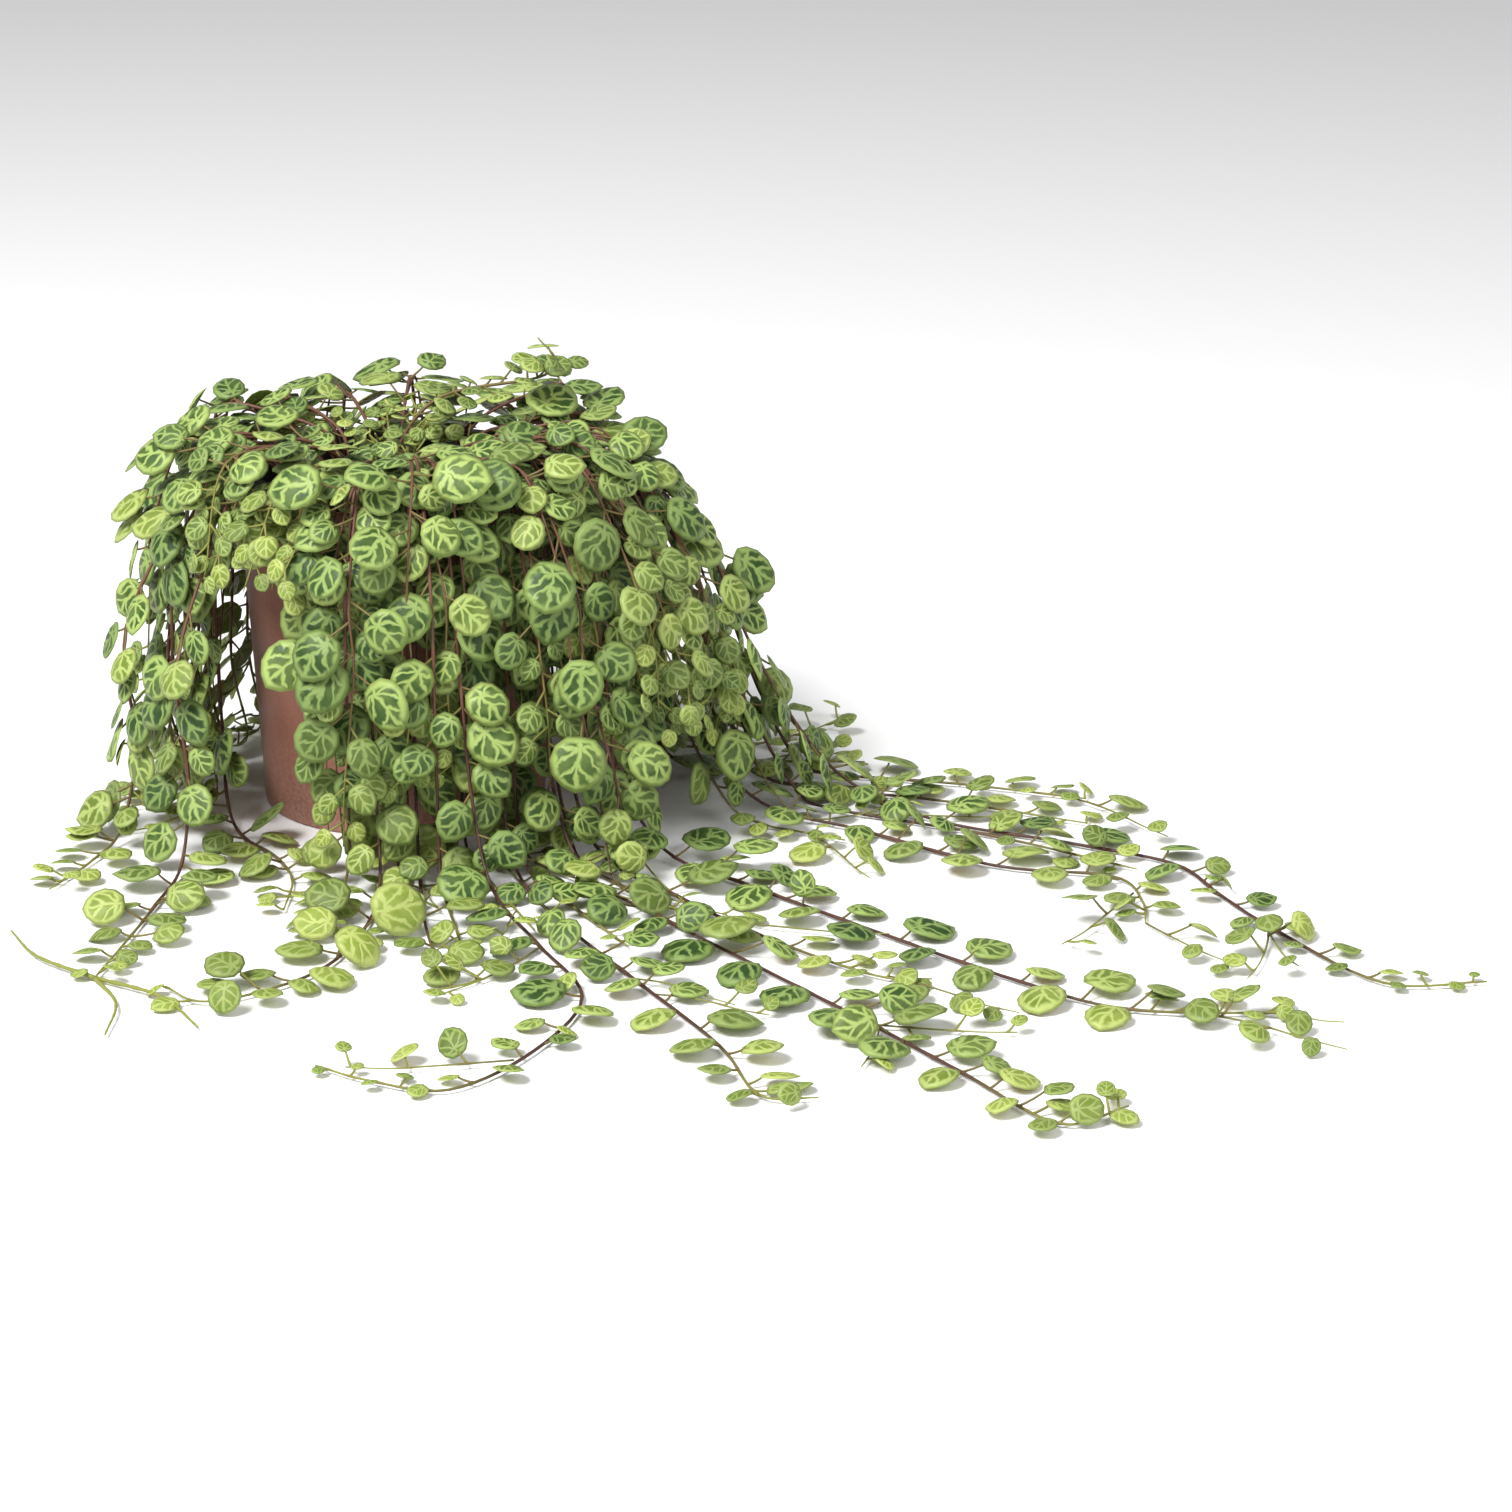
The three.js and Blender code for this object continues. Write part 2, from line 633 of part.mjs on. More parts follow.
const finishes = {
  pot: new THREE.MeshStandardMaterial({ color: 0x9a6a58, roughness: 0.55 }),
  nursery: new THREE.MeshStandardMaterial({ color: 0x1b1517, roughness: 0.5 }),
  soil: new THREE.MeshStandardMaterial({ color: 0x2b1d15, roughness: 1 }),
};
const potted = new THREE.Group();
potted.name = 'potted_string_of_turtles';

function addPiece(name, geometry, material) {
  const mesh = new THREE.Mesh(geometry, material);
  mesh.name = name;
  potted.add(mesh);
}

addPiece('cover_pot', coverPot(), finishes.pot);
addPiece('nursery_pot', nurseryPot(), finishes.nursery);
addPiece('potting_soil', pottingSoil(), finishes.soil);

const two = (n) => String(n).padStart(2, '0');
const vines = [
  ...trailing.map((vine, i) => ({ ...vine, name: `trailing_vine_${two(i + 1)}` })),
  ...Array.from({ length: hangingVines }, (_, i) => (
    { ...hangingVine(i), name: `hanging_vine_${two(i + 1)}` })),
  ...Array.from({ length: crownVines - 1 }, (_, i) => (
    { ...crownVine(i), name: `crown_shoot_${two(i + 1)}` })),
  { ...sprig, name: 'top_sprig' },
];
for (const vine of vines) {
  vine.points = routeOf(vine);
  vine.spikeRuns = vine.spikes ? flowerSpikes(vine.points) : [];
  for (const run of [vine.points, ...vine.spikeRuns]) {
    const box = new THREE.Box3().setFromPoints(run);
    const middle = box.getCenter(new THREE.Vector3());
    const reach = box.getSize(new THREE.Vector3()).length() / 2;
    placedStems.push({ points: run, owner: vine.points, middle, reach });
  }
}
vines.forEach((vine, index) => {
  const leaves = growLeaves(vine, vine.points, index + 1);
  const spikes = vine.spikeRuns.map((run) => stemSolid(run, stemRadius * 0.75));
  let plant = stemSolid(vine.points, stemRadius);
  for (const leaf of leaves) plant = withLeaf(plant, leaf);
  for (const spike of spikes) plant = plant.add(spike);
  const green = new THREE.MeshStandardMaterial({ color: 0x4d7a2c, roughness: 0.45 });
  addPiece(vine.name, geometryOf(plant), green);
});

export default potted;
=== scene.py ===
"""A potted string of turtles: pots, soil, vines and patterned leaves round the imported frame."""
import logging
import math
from dataclasses import dataclass, field
from enum import Enum
from typing import Callable, Sequence

import bpy
import numpy as np
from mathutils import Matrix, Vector


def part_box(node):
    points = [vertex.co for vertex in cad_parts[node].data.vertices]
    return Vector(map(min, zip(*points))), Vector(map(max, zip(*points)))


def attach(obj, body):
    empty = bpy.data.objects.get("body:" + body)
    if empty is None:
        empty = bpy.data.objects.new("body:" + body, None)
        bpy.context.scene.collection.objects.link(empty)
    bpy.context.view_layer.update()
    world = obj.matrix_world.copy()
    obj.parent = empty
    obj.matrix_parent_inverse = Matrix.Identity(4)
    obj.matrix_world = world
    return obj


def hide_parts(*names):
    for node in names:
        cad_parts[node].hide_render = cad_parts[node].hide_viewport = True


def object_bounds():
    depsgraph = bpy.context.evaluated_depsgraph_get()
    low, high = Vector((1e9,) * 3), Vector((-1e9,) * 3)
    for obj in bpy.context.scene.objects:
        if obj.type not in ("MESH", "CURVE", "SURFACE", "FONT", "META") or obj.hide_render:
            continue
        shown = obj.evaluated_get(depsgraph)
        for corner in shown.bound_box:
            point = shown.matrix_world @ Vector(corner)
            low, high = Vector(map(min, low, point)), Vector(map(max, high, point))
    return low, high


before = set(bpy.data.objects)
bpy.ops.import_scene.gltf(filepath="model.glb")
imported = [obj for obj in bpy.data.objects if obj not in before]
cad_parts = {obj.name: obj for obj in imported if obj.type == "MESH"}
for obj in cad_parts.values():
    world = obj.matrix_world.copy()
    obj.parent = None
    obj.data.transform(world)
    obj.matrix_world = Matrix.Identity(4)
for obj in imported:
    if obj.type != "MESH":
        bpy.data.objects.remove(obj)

LOG = logging.getLogger("string_of_turtles")
MM = 0.001                                  # metres in a millimetre
CAD_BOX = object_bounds()
Array = np.ndarray
UP = np.array([0.0, 0.0, 1.0])
LIGHT_SIDE = np.array([-0.15, -0.95, 0.25])  # where most of the light comes from
ROOM = np.array([list(corner) for corner in CAD_BOX]) / MM  # what the plant may fill


def to_mm(name: str, corner: int, axis: int) -> float:
    """One coordinate of a CAD node's box, in millimetres."""
    return float(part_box(name)[corner][axis]) / MM


# ---- Sizes ----------------------------------------------------------------------------------------

@dataclass(frozen=True)
class PotSizes:
    """The two pots and the soil, in millimetres."""

    height: float = to_mm("cover_pot", 1, 2)
    collar: float = to_mm("cover_pot", 1, 0)
    foot: float = 42.0
    shoulder: float = 46.5
    collar_height: float = 16.0
    wall: float = 2.4
    floor: float = 3.0
    gap: float = 0.3
    nursery_wall: float = 1.2
    lip_depth: float = 2.4
    foot_play: float = 3.0
    shoulder_play: float = 1.2
    soil_below_rim: float = 10.0
    soil_crown: float = 2.0

    @property
    def shoulder_z(self) -> float:
        """Height of the collar's lower edge."""
        return self.height - self.collar_height

    @property
    def nursery_base(self) -> float:
        """Height of the nursery pot's underside."""
        return self.floor + self.gap

    @property
    def nursery_foot(self) -> float:
        """Outside radius of the nursery pot at its foot."""
        return self.foot - self.wall - self.foot_play

    @property
    def lip_z(self) -> float:
        """Height of the nursery pot's lip."""
        return self.height + self.gap + self.lip_depth

    @property
    def flare(self) -> float:
        """How fast the nursery pot widens with height."""
        rise = self.shoulder_z - self.nursery_base
        return (self.shoulder - self.wall - self.shoulder_play - self.nursery_foot) / rise

    @property
    def nursery_top(self) -> float:
        """Outside radius of the nursery pot's wall at its lip."""
        return self.nursery_foot + self.flare * (self.lip_z - self.nursery_base)

    @property
    def soil_top(self) -> float:
        """Height of the soil at the nursery pot's wall."""
        return self.height - self.soil_below_rim

    def bore(self, z: float) -> float:
        """Inside radius of the nursery pot at a height."""
        inner_base = self.nursery_base + self.nursery_wall
        share = (z - inner_base) / (self.lip_z - inner_base)
        return self.nursery_foot - self.nursery_wall + share * (self.nursery_top - self.nursery_foot)

    def soil_at(self, radius: float) -> float:
        """Height of the soil's surface at a radius."""
        return self.soil_top + self.soil_crown * (1 - radius / self.bore(self.soil_top))


@dataclass(frozen=True)
class VineSizes:
    """How the plant grows, in millimetres and degrees."""

    stem: float = 0.8
    stem_floor: float = 1.3
    leaf: float = 6.6
    young_leaf: float = 3.2
    spacing: float = 11.0
    petiole: float = 3.2
    dome: float = 0.2
    belly: float = 0.1
    leaf_clear: float = 0.85
    stalk_clear: float = 1.1
    stem_clear: float = 6.6 * 0.37
    hang_clear: float = 5.5
    curtain_depth: float = 26.0
    crown_rise: float = 9.0
    root_ring: float = 33.0
    inner_root_ring: float = 18.0
    shoot_rise: float = 18.0
    crown_ring: float = 9.0
    hanging: int = 36
    crown: int = 9
    least_turn: float = 3.4
    full_side: float = 0.4
    back_gap: float = 24.0
    back_gap_start: float = 66.0
    left_shallow: float = 0.35
    right_slope: float = 36.0
    bench: float = 0.4


POT = PotSizes()
GROWTH = VineSizes()
WINDOW = (-154, -104)  # bearings between which the curtain is open and the pot's wall shows
WINDOW_TOP = 0.88      # how far down filling leaves come there, as a share of the pot's height


def ease(start: float, stop: float, value: Array | float) -> Array | float:
    """Smooth step from 0 at start to 1 at stop: three t squared less two t cubed."""
    t = np.clip((value - start) / (stop - start), 0.0, 1.0)
    return t * t * (3 - 2 * t)


class Lehmer:
    """Repeatable random numbers from 0 to 1."""

    def __init__(self, seed: int) -> None:
        """Start the sequence that belongs to a seed."""
        self.state = (seed * 7919 + 104729) % 2147483647
        self()
        self()

    def __call__(self) -> float:
        """The next number."""
        self.state = (self.state * 16807) % 2147483647
        return self.state / 2147483647


# ---- Routes ---------------------------------------------------------------------------------------

def at(bearing: float, radius: float, z: float) -> Array:
    """A place given by its bearing round the pot (0 = +X, -90 = front), radius and height."""
    angle = math.radians(bearing)
    return np.array([math.cos(angle) * radius, math.sin(angle) * radius, z])


def hang(bearing: float, beyond: float, z: float) -> Array:
    """A place beside the pot, at a distance beyond its collar."""
    return at(bearing, POT.collar + beyond, z)


def lie(bearing: float, beyond: float, lift: float = 0.0) -> Array:
    """A place on the surface that the pot stands on."""
    return at(bearing, POT.collar + beyond, GROWTH.stem_floor + lift)


class Habit(Enum):
    """How a vine grows."""

    TRAILING = "trailing"
    HANGING = "hanging"
    CROWN = "crown"
    SPRIG = "sprig"


@dataclass
class Leaf:
    """One leaf's frame: where its stalk starts, the blade's centre, axes and radius."""

    foot: Array
    centre: Array
    axis: Array
    cross: Array
    normal: Array
    radius: float
    youth: float = 0.0

    def on(self, along: float, across: float, above: float = 0.0) -> Array:
        """A place on the blade, as shares of its radius."""
        return (self.centre + self.axis * (along * self.radius) + self.cross * (across * self.radius)
                + self.normal * (above * self.radius))

    def backs(self) -> Array:
        """The places at the back of the blade that the stalk spreads to."""
        return np.array([self.on(-0.79, across) for across in (-0.79, 0.0, 0.79)])

    def samples(self) -> Array:
        """Places spread over the blade and its stalk."""
        shares = np.array([0.3, 0.55, 0.8, 0.95])[None, :, None]
        stalk = self.foot + (self.backs()[:, None, :] - self.foot) * shares
        inner = np.arange(8) / 8 * 2 * math.pi
        outer = np.arange(16) / 16 * 2 * math.pi
        angle = np.concatenate([inner, outer])
        reach = np.concatenate([np.full(8, 0.55), np.full(16, 1.1)]) * self.radius
        blade = (self.centre + np.outer(reach * np.cos(angle), self.axis)
                 + np.outer(reach * np.sin(angle), self.cross))
        return np.concatenate([self.centre[None], stalk.reshape(-1, 3), blade])


@dataclass
class Run:
    """One stem and the leaves that it bears.

    Bare is the share of it that stays without leaves, young makes all of it young, pale is added to its
    leaves' youth, and thin is the length of its end on which the leaves stay small and few.
    """

    points: Array
    bare: float = 0.0
    young: bool = False
    pale: float = 0.0
    thin: float = 0.0
    leaves: list[Leaf] = field(default_factory=list)

    def length(self) -> float:
        """Length of the stem."""
        return float(np.linalg.norm(np.diff(self.points, axis=0), axis=1).sum())

    def place(self, distance: float) -> tuple[Array, Array]:
        """The place at a distance along the stem, and the way that it runs there."""
        spans = np.diff(self.points, axis=0)
        lengths = np.linalg.norm(spans, axis=1)
        ends = np.cumsum(lengths)
        i = min(int(np.searchsorted(ends, distance)), len(spans) - 1)
        along = spans[i] / lengths[i]
        return self.points[i] + along * (distance - ends[i] + lengths[i]), along


@dataclass
class Vine:
    """One vine: its CAD node's name, its main stem, its side shoots and its flower spikes."""

    name: str
    habit: Habit
    stem: Run
    bearing: float = 0.0
    shoots: list[Run] = field(default_factory=list)
    spikes: list[Array] = field(default_factory=list)

    @property
    def leaves(self) -> list[Leaf]:
        """The leaves of the stem and of its side shoots."""
        return [leaf for run in (self.stem, *self.shoots) for leaf in run.leaves]


def leftward(bearing: float) -> float:
    """How much a bearing is at the left or at the back, from 0 to 1."""
    return float(1 - ease(-120, -100, bearing) * ease(110, 80, bearing))


def hang_out(bearing: float, layer: float) -> float:
    """How far outside the collar a layer of the curtain hangs: closer in at the left and the back."""
    return GROWTH.hang_clear + GROWTH.curtain_depth * layer * (1 - GROWTH.left_shallow * leftward(bearing))


def slope_out(bearing: float) -> float:
    """How much further out the curtain lands than it hangs: only at the right front."""
    return GROWTH.right_slope * ease(-72, -34, bearing) * ease(35, -5, bearing)


def over_rim(bearing: float, layer: float) -> list[Array]:
    """The rooted part of a vine: out of the soil, over the rim and down outside it.

    Args:
        bearing: Where it crosses the rim, in degrees.
        layer: 0 for the curtain nearest the pot, 1 for the outermost one.

    Returns:
        The points of its stem.
    """
    g = GROWTH
    root = g.root_ring + (g.inner_root_ring - g.root_ring) * layer
    out = POT.collar + hang_out(bearing, layer)
    peak = POT.lip_z + 4 + g.crown_rise * layer
    return [
        at(bearing, root, POT.soil_at(root) + g.stem + POT.gap),
        at(bearing, root + 3, POT.soil_top + 9 + 9 * layer),
        at(bearing, root + 0.65 * (POT.nursery_top - root), peak - 2),
        at(bearing, POT.collar - 2 + 8 * layer, peak),
        at(bearing, out - 3 - 8 * layer, peak - 9 - 4 * layer),
    ]


@dataclass(frozen=True)
class Trail:
    """A vine that trails over the surface, from where it crosses the rim."""

    bearing: float
    layer: float
    bare: float
    hung: tuple[tuple[float, float, float], ...]
    laid: tuple[tuple[float, float], ...]
    spikes: tuple[tuple[float, float], ...] = ()
    thin: float = 0.0
    pale: float = 0.0

    def points(self) -> Array:
        """The points of its stem: over the rim, hanging, then lying."""
        hung = [hang(*place) for place in self.hung]
        return np.array(over_rim(self.bearing, self.layer) + hung + [lie(*place) for place in self.laid])


TRAILS = (
    Trail(-3, 0.9, 0.3, ((-6, 38, 88), (-7, 54, 52), (-5, 70, 22), (-4, 86, 5)),
          ((-11, 113), (-14.5, 154), (-17, 186), (-22, 205), (-26.5, 228), (-31, 268), (-28.5, 292)),
          thin=125),
    Trail(-13, 0.7, 0.2, ((-14, 32, 60), (-14, 42, 26), (-13, 60, 5)),
          ((-16, 92), (-22, 138), (-21, 172), (-25, 186), (-29, 194)), pale=0.35),
    Trail(-37, 0.6, 0.1, ((-38, 27, 60), (-39, 34, 26), (-39, 52, 4)),
          ((-40, 86), (-42, 138), (-42.8, 190), (-42, 224), (-37.2, 258))),
    Trail(-47, 0.4, 0.1, ((-47, 22, 58), (-48, 28, 25), (-48, 42, 4)),
          ((-49, 78), (-50, 122), (-49, 160), (-46.5, 172)), pale=0.45),
    Trail(-56, 0.75, 0.1, ((-56, 30, 58), (-56, 36, 24), (-55.5, 52, 4)),
          ((-55, 90), (-55, 136), (-55, 182), (-55.2, 226), (-55.3, 266), (-51.5, 268))),
    Trail(-66, 0.5, 0.1, ((-66, 26, 58), (-66, 32, 24), (-66, 46, 4)),
          ((-66, 86), (-65.5, 132), (-65.2, 180), (-66.2, 214), (-63.5, 222))),
    Trail(-74, 0.85, 0.1, ((-74, 33, 58), (-73, 39, 24), (-72, 54, 4)),
          ((-71, 92), (-71, 134), (-77, 168), (-83, 190), (-88, 182), (-91.5, 172)), thin=95),
    Trail(-83, 0.3, 0.1, ((-83, 18, 58), (-83, 24, 24), (-83, 40, 4)),
          ((-83, 72), (-82, 96), (-79, 114), (-84, 122)), pale=0.6),
    Trail(-93, 0.6, 0.1, ((-92, 27, 58), (-91, 32, 24), (-90, 44, 4)),
          ((-91, 74), (-94, 104), (-99, 124), (-103, 132), (-107, 124)), pale=0.6),
    Trail(-166, 0.1, 0.35, ((-165, 5, 62), (-162, 5, 30), (-152, 7, 7)),
          ((-136, 12), (-118, 20), (-107.5, 36), (-103.5, 60))),
    Trail(-137, 0.95, 0.4, ((-135, 33, 60), (-131, 36, 26), (-127, 46, 4)),
          ((-121, 70), (-116.5, 98), (-113.8, 125)), ((128, 46), (-78, 42), (-48, 48))),
    Trail(-157, 1, 0.1, ((-156, 34, 62), (-153, 34, 28), (-149, 42, 5)), ((-142, 58), (-136, 80))),
)


class Planting:
    """Lays out every vine's stem, in the same places as its CAD node."""

    def __init__(self) -> None:
        """Start with the trailing vines' bearings taken."""
        self.taken = [trail.bearing for trail in TRAILS]

    def free_bearing(self, wanted: float) -> float:
        """The next bearing at or after this one that no vine has taken yet."""
        bearing = wanted
        while any(abs(taken - bearing) < GROWTH.least_turn for taken in self.taken):
            bearing += GROWTH.least_turn / 4
        self.taken.append(bearing)
        return bearing

    @staticmethod
    def curtain_foot(bearing: float, draw: float) -> float:
        """How low the curtain hangs: open at the left front, part open at the right front."""
        if -152 < bearing < -104:
            return POT.height * (0.74 + 0.16 * draw)
        if -44 < bearing < -20:
            return POT.height * (0.36 + 0.2 * draw)
        return 0.0

    def hanging(self, index: int) -> Vine:
        """A vine that hangs beside the pot and runs a little way over the surface."""
        g = GROWTH
        draw = Lehmer(100 + index)
        turn = (index + 0.5) / g.hanging
        crowding = 0.045 * math.sin(2 * math.pi * (turn - g.full_side))
        even = -180 + (360 - g.back_gap) * (turn - crowding) + 2 * (draw() - 0.5)
        bearing = self.free_bearing(even if even < g.back_gap_start else even + g.back_gap)
        layer = (0.15, 0.8, 0.4, 1.0, 0.0, 0.6)[index % 6]
        foot = self.curtain_foot(bearing, draw())
        to_right = ease(-110, -50, bearing) * ease(35, -5, bearing)
        out = hang_out(bearing, layer)
        to_left = leftward(bearing)
        spread = (16 + 30 * draw()) * (1 - 0.75 * to_left) + 75 * to_right * draw()
        slope = slope_out(bearing)
        drift = -0.11 * ease(-50, 0, bearing) * ease(40, 10, bearing)
        heights = [share for share in (0.82, 0.56, 0.3) if POT.height * share > foot + 8]
        route = [hang(bearing, out + (1 - share) * (6 + slope), POT.height * share) for share in heights]
        if foot > 0:
            route.append(hang(bearing, out + 3, foot))
        else:
            landing = out + slope + 18 - 8 * to_left
            route += [hang(bearing, landing - 11, 7), lie(bearing, landing, 0.4),
                      lie(bearing + drift * spread * 0.5, landing + spread * 0.5),
                      lie(bearing + drift * spread, landing + spread)]
        points = np.array(over_rim(bearing, layer) + route)
        pale = 0.5 if -132 < bearing < -84 else 0.0
        return Vine(f"hanging_vine_{index + 1:02d}", Habit.HANGING, Run(points, pale=pale), bearing)

    @staticmethod
    def crown(index: int) -> Vine:
        """A short shoot in the middle of the crown."""
        g = GROWTH
        draw = Lehmer(300 + index)
        bearing = 15 + index / (g.crown - 1) * 360
        root = g.crown_ring * (1.0 if index % 2 == 0 else 0.45)
        foot = POT.soil_at(root) + g.stem + POT.gap
        rise = POT.height + g.shoot_rise * (0.5 + 0.5 * draw()) - foot
        points = np.array([
            at(bearing, root, foot),
            at(bearing, root + 1, foot + rise * 0.35),
            at(bearing, root + 3, foot + rise * 0.7),
            at(bearing, root + 7, foot + rise),
        ])
        return Vine(f"crown_shoot_{index + 1:02d}", Habit.CROWN, Run(points, bare=0.3), bearing)

    @staticmethod
    def sprig() -> Vine:
        """The thin upright shoot that stands above the crown."""
        points = np.array([
            at(20, 0.2, POT.soil_at(0) + GROWTH.stem + POT.gap), at(20, 0.8, POT.height + 8),
            at(14, 14, POT.height + 22), at(8, 42, POT.height + 27), at(4, 47, POT.height + 33),
            at(2, 42, POT.height + 40),
        ])
        return Vine("top_sprig", Habit.SPRIG, Run(points, bare=0.3, young=True))

    def vines(self) -> list[Vine]:
        """Every vine, in the order in which leaves are given to them."""
        trailing = []
        for index, trail in enumerate(TRAILS):
            run = Run(trail.points(), bare=trail.bare, thin=trail.thin, pale=trail.pale)
            vine = Vine(f"trailing_vine_{index + 1:02d}", Habit.TRAILING, run, trail.bearing)
            vine.spikes = [self.spike(run.points[-1], *spike) for spike in trail.spikes]
            trailing.append(vine)
        hanging = [self.hanging(i) for i in range(GROWTH.hanging)]
        crown = [self.crown(i) for i in range(GROWTH.crown - 1)]
        return trailing + hanging + crown + [self.sprig()]

    @staticmethod
    def spike(start: Array, bearing: float, length: float) -> Array:
        """The points of a thin flower spike that lies on the surface."""
        tip = start + at(bearing, length, 0)
        middle = (start + tip) / 2 + at(bearing + 90, length * 0.1, 0.4)
        return np.array([start, middle, tip])


def smoothed(points: Array, per_span: int) -> Array:
    """Uniform Catmull-Rom curve through the points.

    Each span blends its two ends and half the chords on either side with the cubic Hermite weights;
    the first and last points are mirrored to give the ends their chords.

    Args:
        points: The points that the curve passes through.
        per_span: Steps between two points.

    Returns:
        The stations along the curve, ends included.
    """
    padded = np.vstack([2 * points[0] - points[1], points, 2 * points[-1] - points[-2]])
    t = (np.arange(per_span) / per_span)[None, :, None]
    p0, p1, p2, p3 = (padded[i:len(padded) - 3 + i][:, None, :] for i in range(4))
    curve = 0.5 * (2 * p1 + (p2 - p0) * t + (2 * p0 - 5 * p1 + 4 * p2 - p3) * t ** 2
                   + (3 * p1 - p0 - 3 * p2 + p3) * t ** 3)
    return np.vstack([curve.reshape(-1, 3), points[-1]])


# ---- Where leaves grow ----------------------------------------------------------------------------

def unit(vector: Array) -> Array:
    """The vector at length one, along the last axis."""
    return vector / np.linalg.norm(vector, axis=-1, keepdims=True)


def facing(p: Array, lift: float = 1.0) -> Array:
    """The way that foliage faces: out from the pot, and up on the crown and on the surface.

    Args:
        p: The place.
        lift: How far it turns up, as a share of the usual turn.

    Returns:
        The direction.
    """
    r = max(1.0, math.hypot(p[0], p[1]))
    crown = ease(POT.height - 18, POT.height + 14, p[2]) * (1 - 0.5 * ease(25, 85, r))
    up = max(crown, ease(16, 3, p[2])) * lift
    return unit(np.array([p[0] / r * (1 - up), p[1] / r * (1 - up), up + 0.12]))


def leaf_frame(foot: Array, along: Array, side: int, radius: float, draws: Sequence[float], swing: float,
               stalk_share: float = 1.0, loose: float = 1.0, lift: float = 1.0,
               to_light: float = 0.0) -> Leaf:
    """One leaf's frame.

    Args:
        foot: Where its stalk leaves the stem.
        along: The way that the stem runs there.
        side: Which side of the stem it grows on, 1 or -1.
        radius: Radius of the blade.
        draws: Random numbers for its tilt.
        swing: How far it is turned outward round the stem, from -1 to 1.
        stalk_share: Length of its stalk, as a share of the usual one.
        loose: How far it may tilt, as a share of the usual tilt.
        lift: How far it faces up on the crown and on the surface, as a share of the usual turn.
        to_light: How far it turns to the light.

    Returns:
        The leaf.
    """
    out = facing(foot, lift)
    across = unit(np.cross(out, along)) * side
    hanging = float(ease(6, 24, foot[2]) * ease(POT.height + 22, POT.height - 6, foot[2]))
    stalk = unit(across * 0.85 + along * (0.3 + 0.3 * (draws[0] - 0.5))
                 + out * (0.42 + 0.55 * swing + 0.3 * draws[1]) - UP * (0.25 * hanging))
    normal = unit(out + across * ((0.5 * (draws[2] - 0.35) + 0.15 * swing) * loose)
                  + along * (0.55 * (draws[3] - 0.5) * loose) + UP * 0.25 + LIGHT_SIDE * to_light)
    axis = stalk - UP * (0.45 * hanging)
    axis = unit(axis - normal * axis.dot(normal))
    centre = (foot + stalk * (GROWTH.petiole * stalk_share * (0.55 + 0.6 * radius / GROWTH.leaf))
              + axis * (radius * 0.92))
    cross = np.cross(normal, axis)
    dip = radius * (math.hypot(axis[2], cross[2]) + GROWTH.belly)
    centre[2] += max(0.0, GROWTH.bench + dip - centre[2])
    return Leaf(foot, centre, axis, cross, normal, radius)


def segment_distance(starts: Array, ends: Array, points: Array) -> Array:
    """Distances from every point to every straight segment, as a table of segments by points."""
    run = ends - starts
    away = points[None] - starts[:, None]
    share = np.clip((away * run[:, None]).sum(-1) / (run * run).sum(-1)[:, None], 0, 1)
    return np.linalg.norm(away - share[..., None] * run[:, None], axis=-1)


def inside_room(leaf: Leaf) -> bool:
    """Whether a leaf lies inside the room that the plant may fill; the surface stops it by itself."""
    reach = 1.15 * leaf.radius
    above = (leaf.centre - reach * 0.7 > ROOM[0] - [0, 0, 9]).all()
    return bool(above and (leaf.centre + reach < ROOM[1]).all())


def in_pot(points: Array) -> Array:
    """Which places lie in or near the pots or the soil."""
    r = np.hypot(points[:, 0], points[:, 1])
    above = points[:, 2] > POT.lip_z + 1.4
    outside = r > POT.collar + 1.2
    inside = r < POT.nursery_top - POT.nursery_wall - 1.5
    over_soil = points[:, 2] > POT.soil_top + POT.soil_crown + 1
    return ~(above | outside | (inside & over_soil))


def may_bear(foot: Array) -> bool:
    """Whether a leaf may leave its stem at a place: anywhere outside the pots."""
    return bool(not in_pot(foot[None])[0] or foot[2] > POT.height)


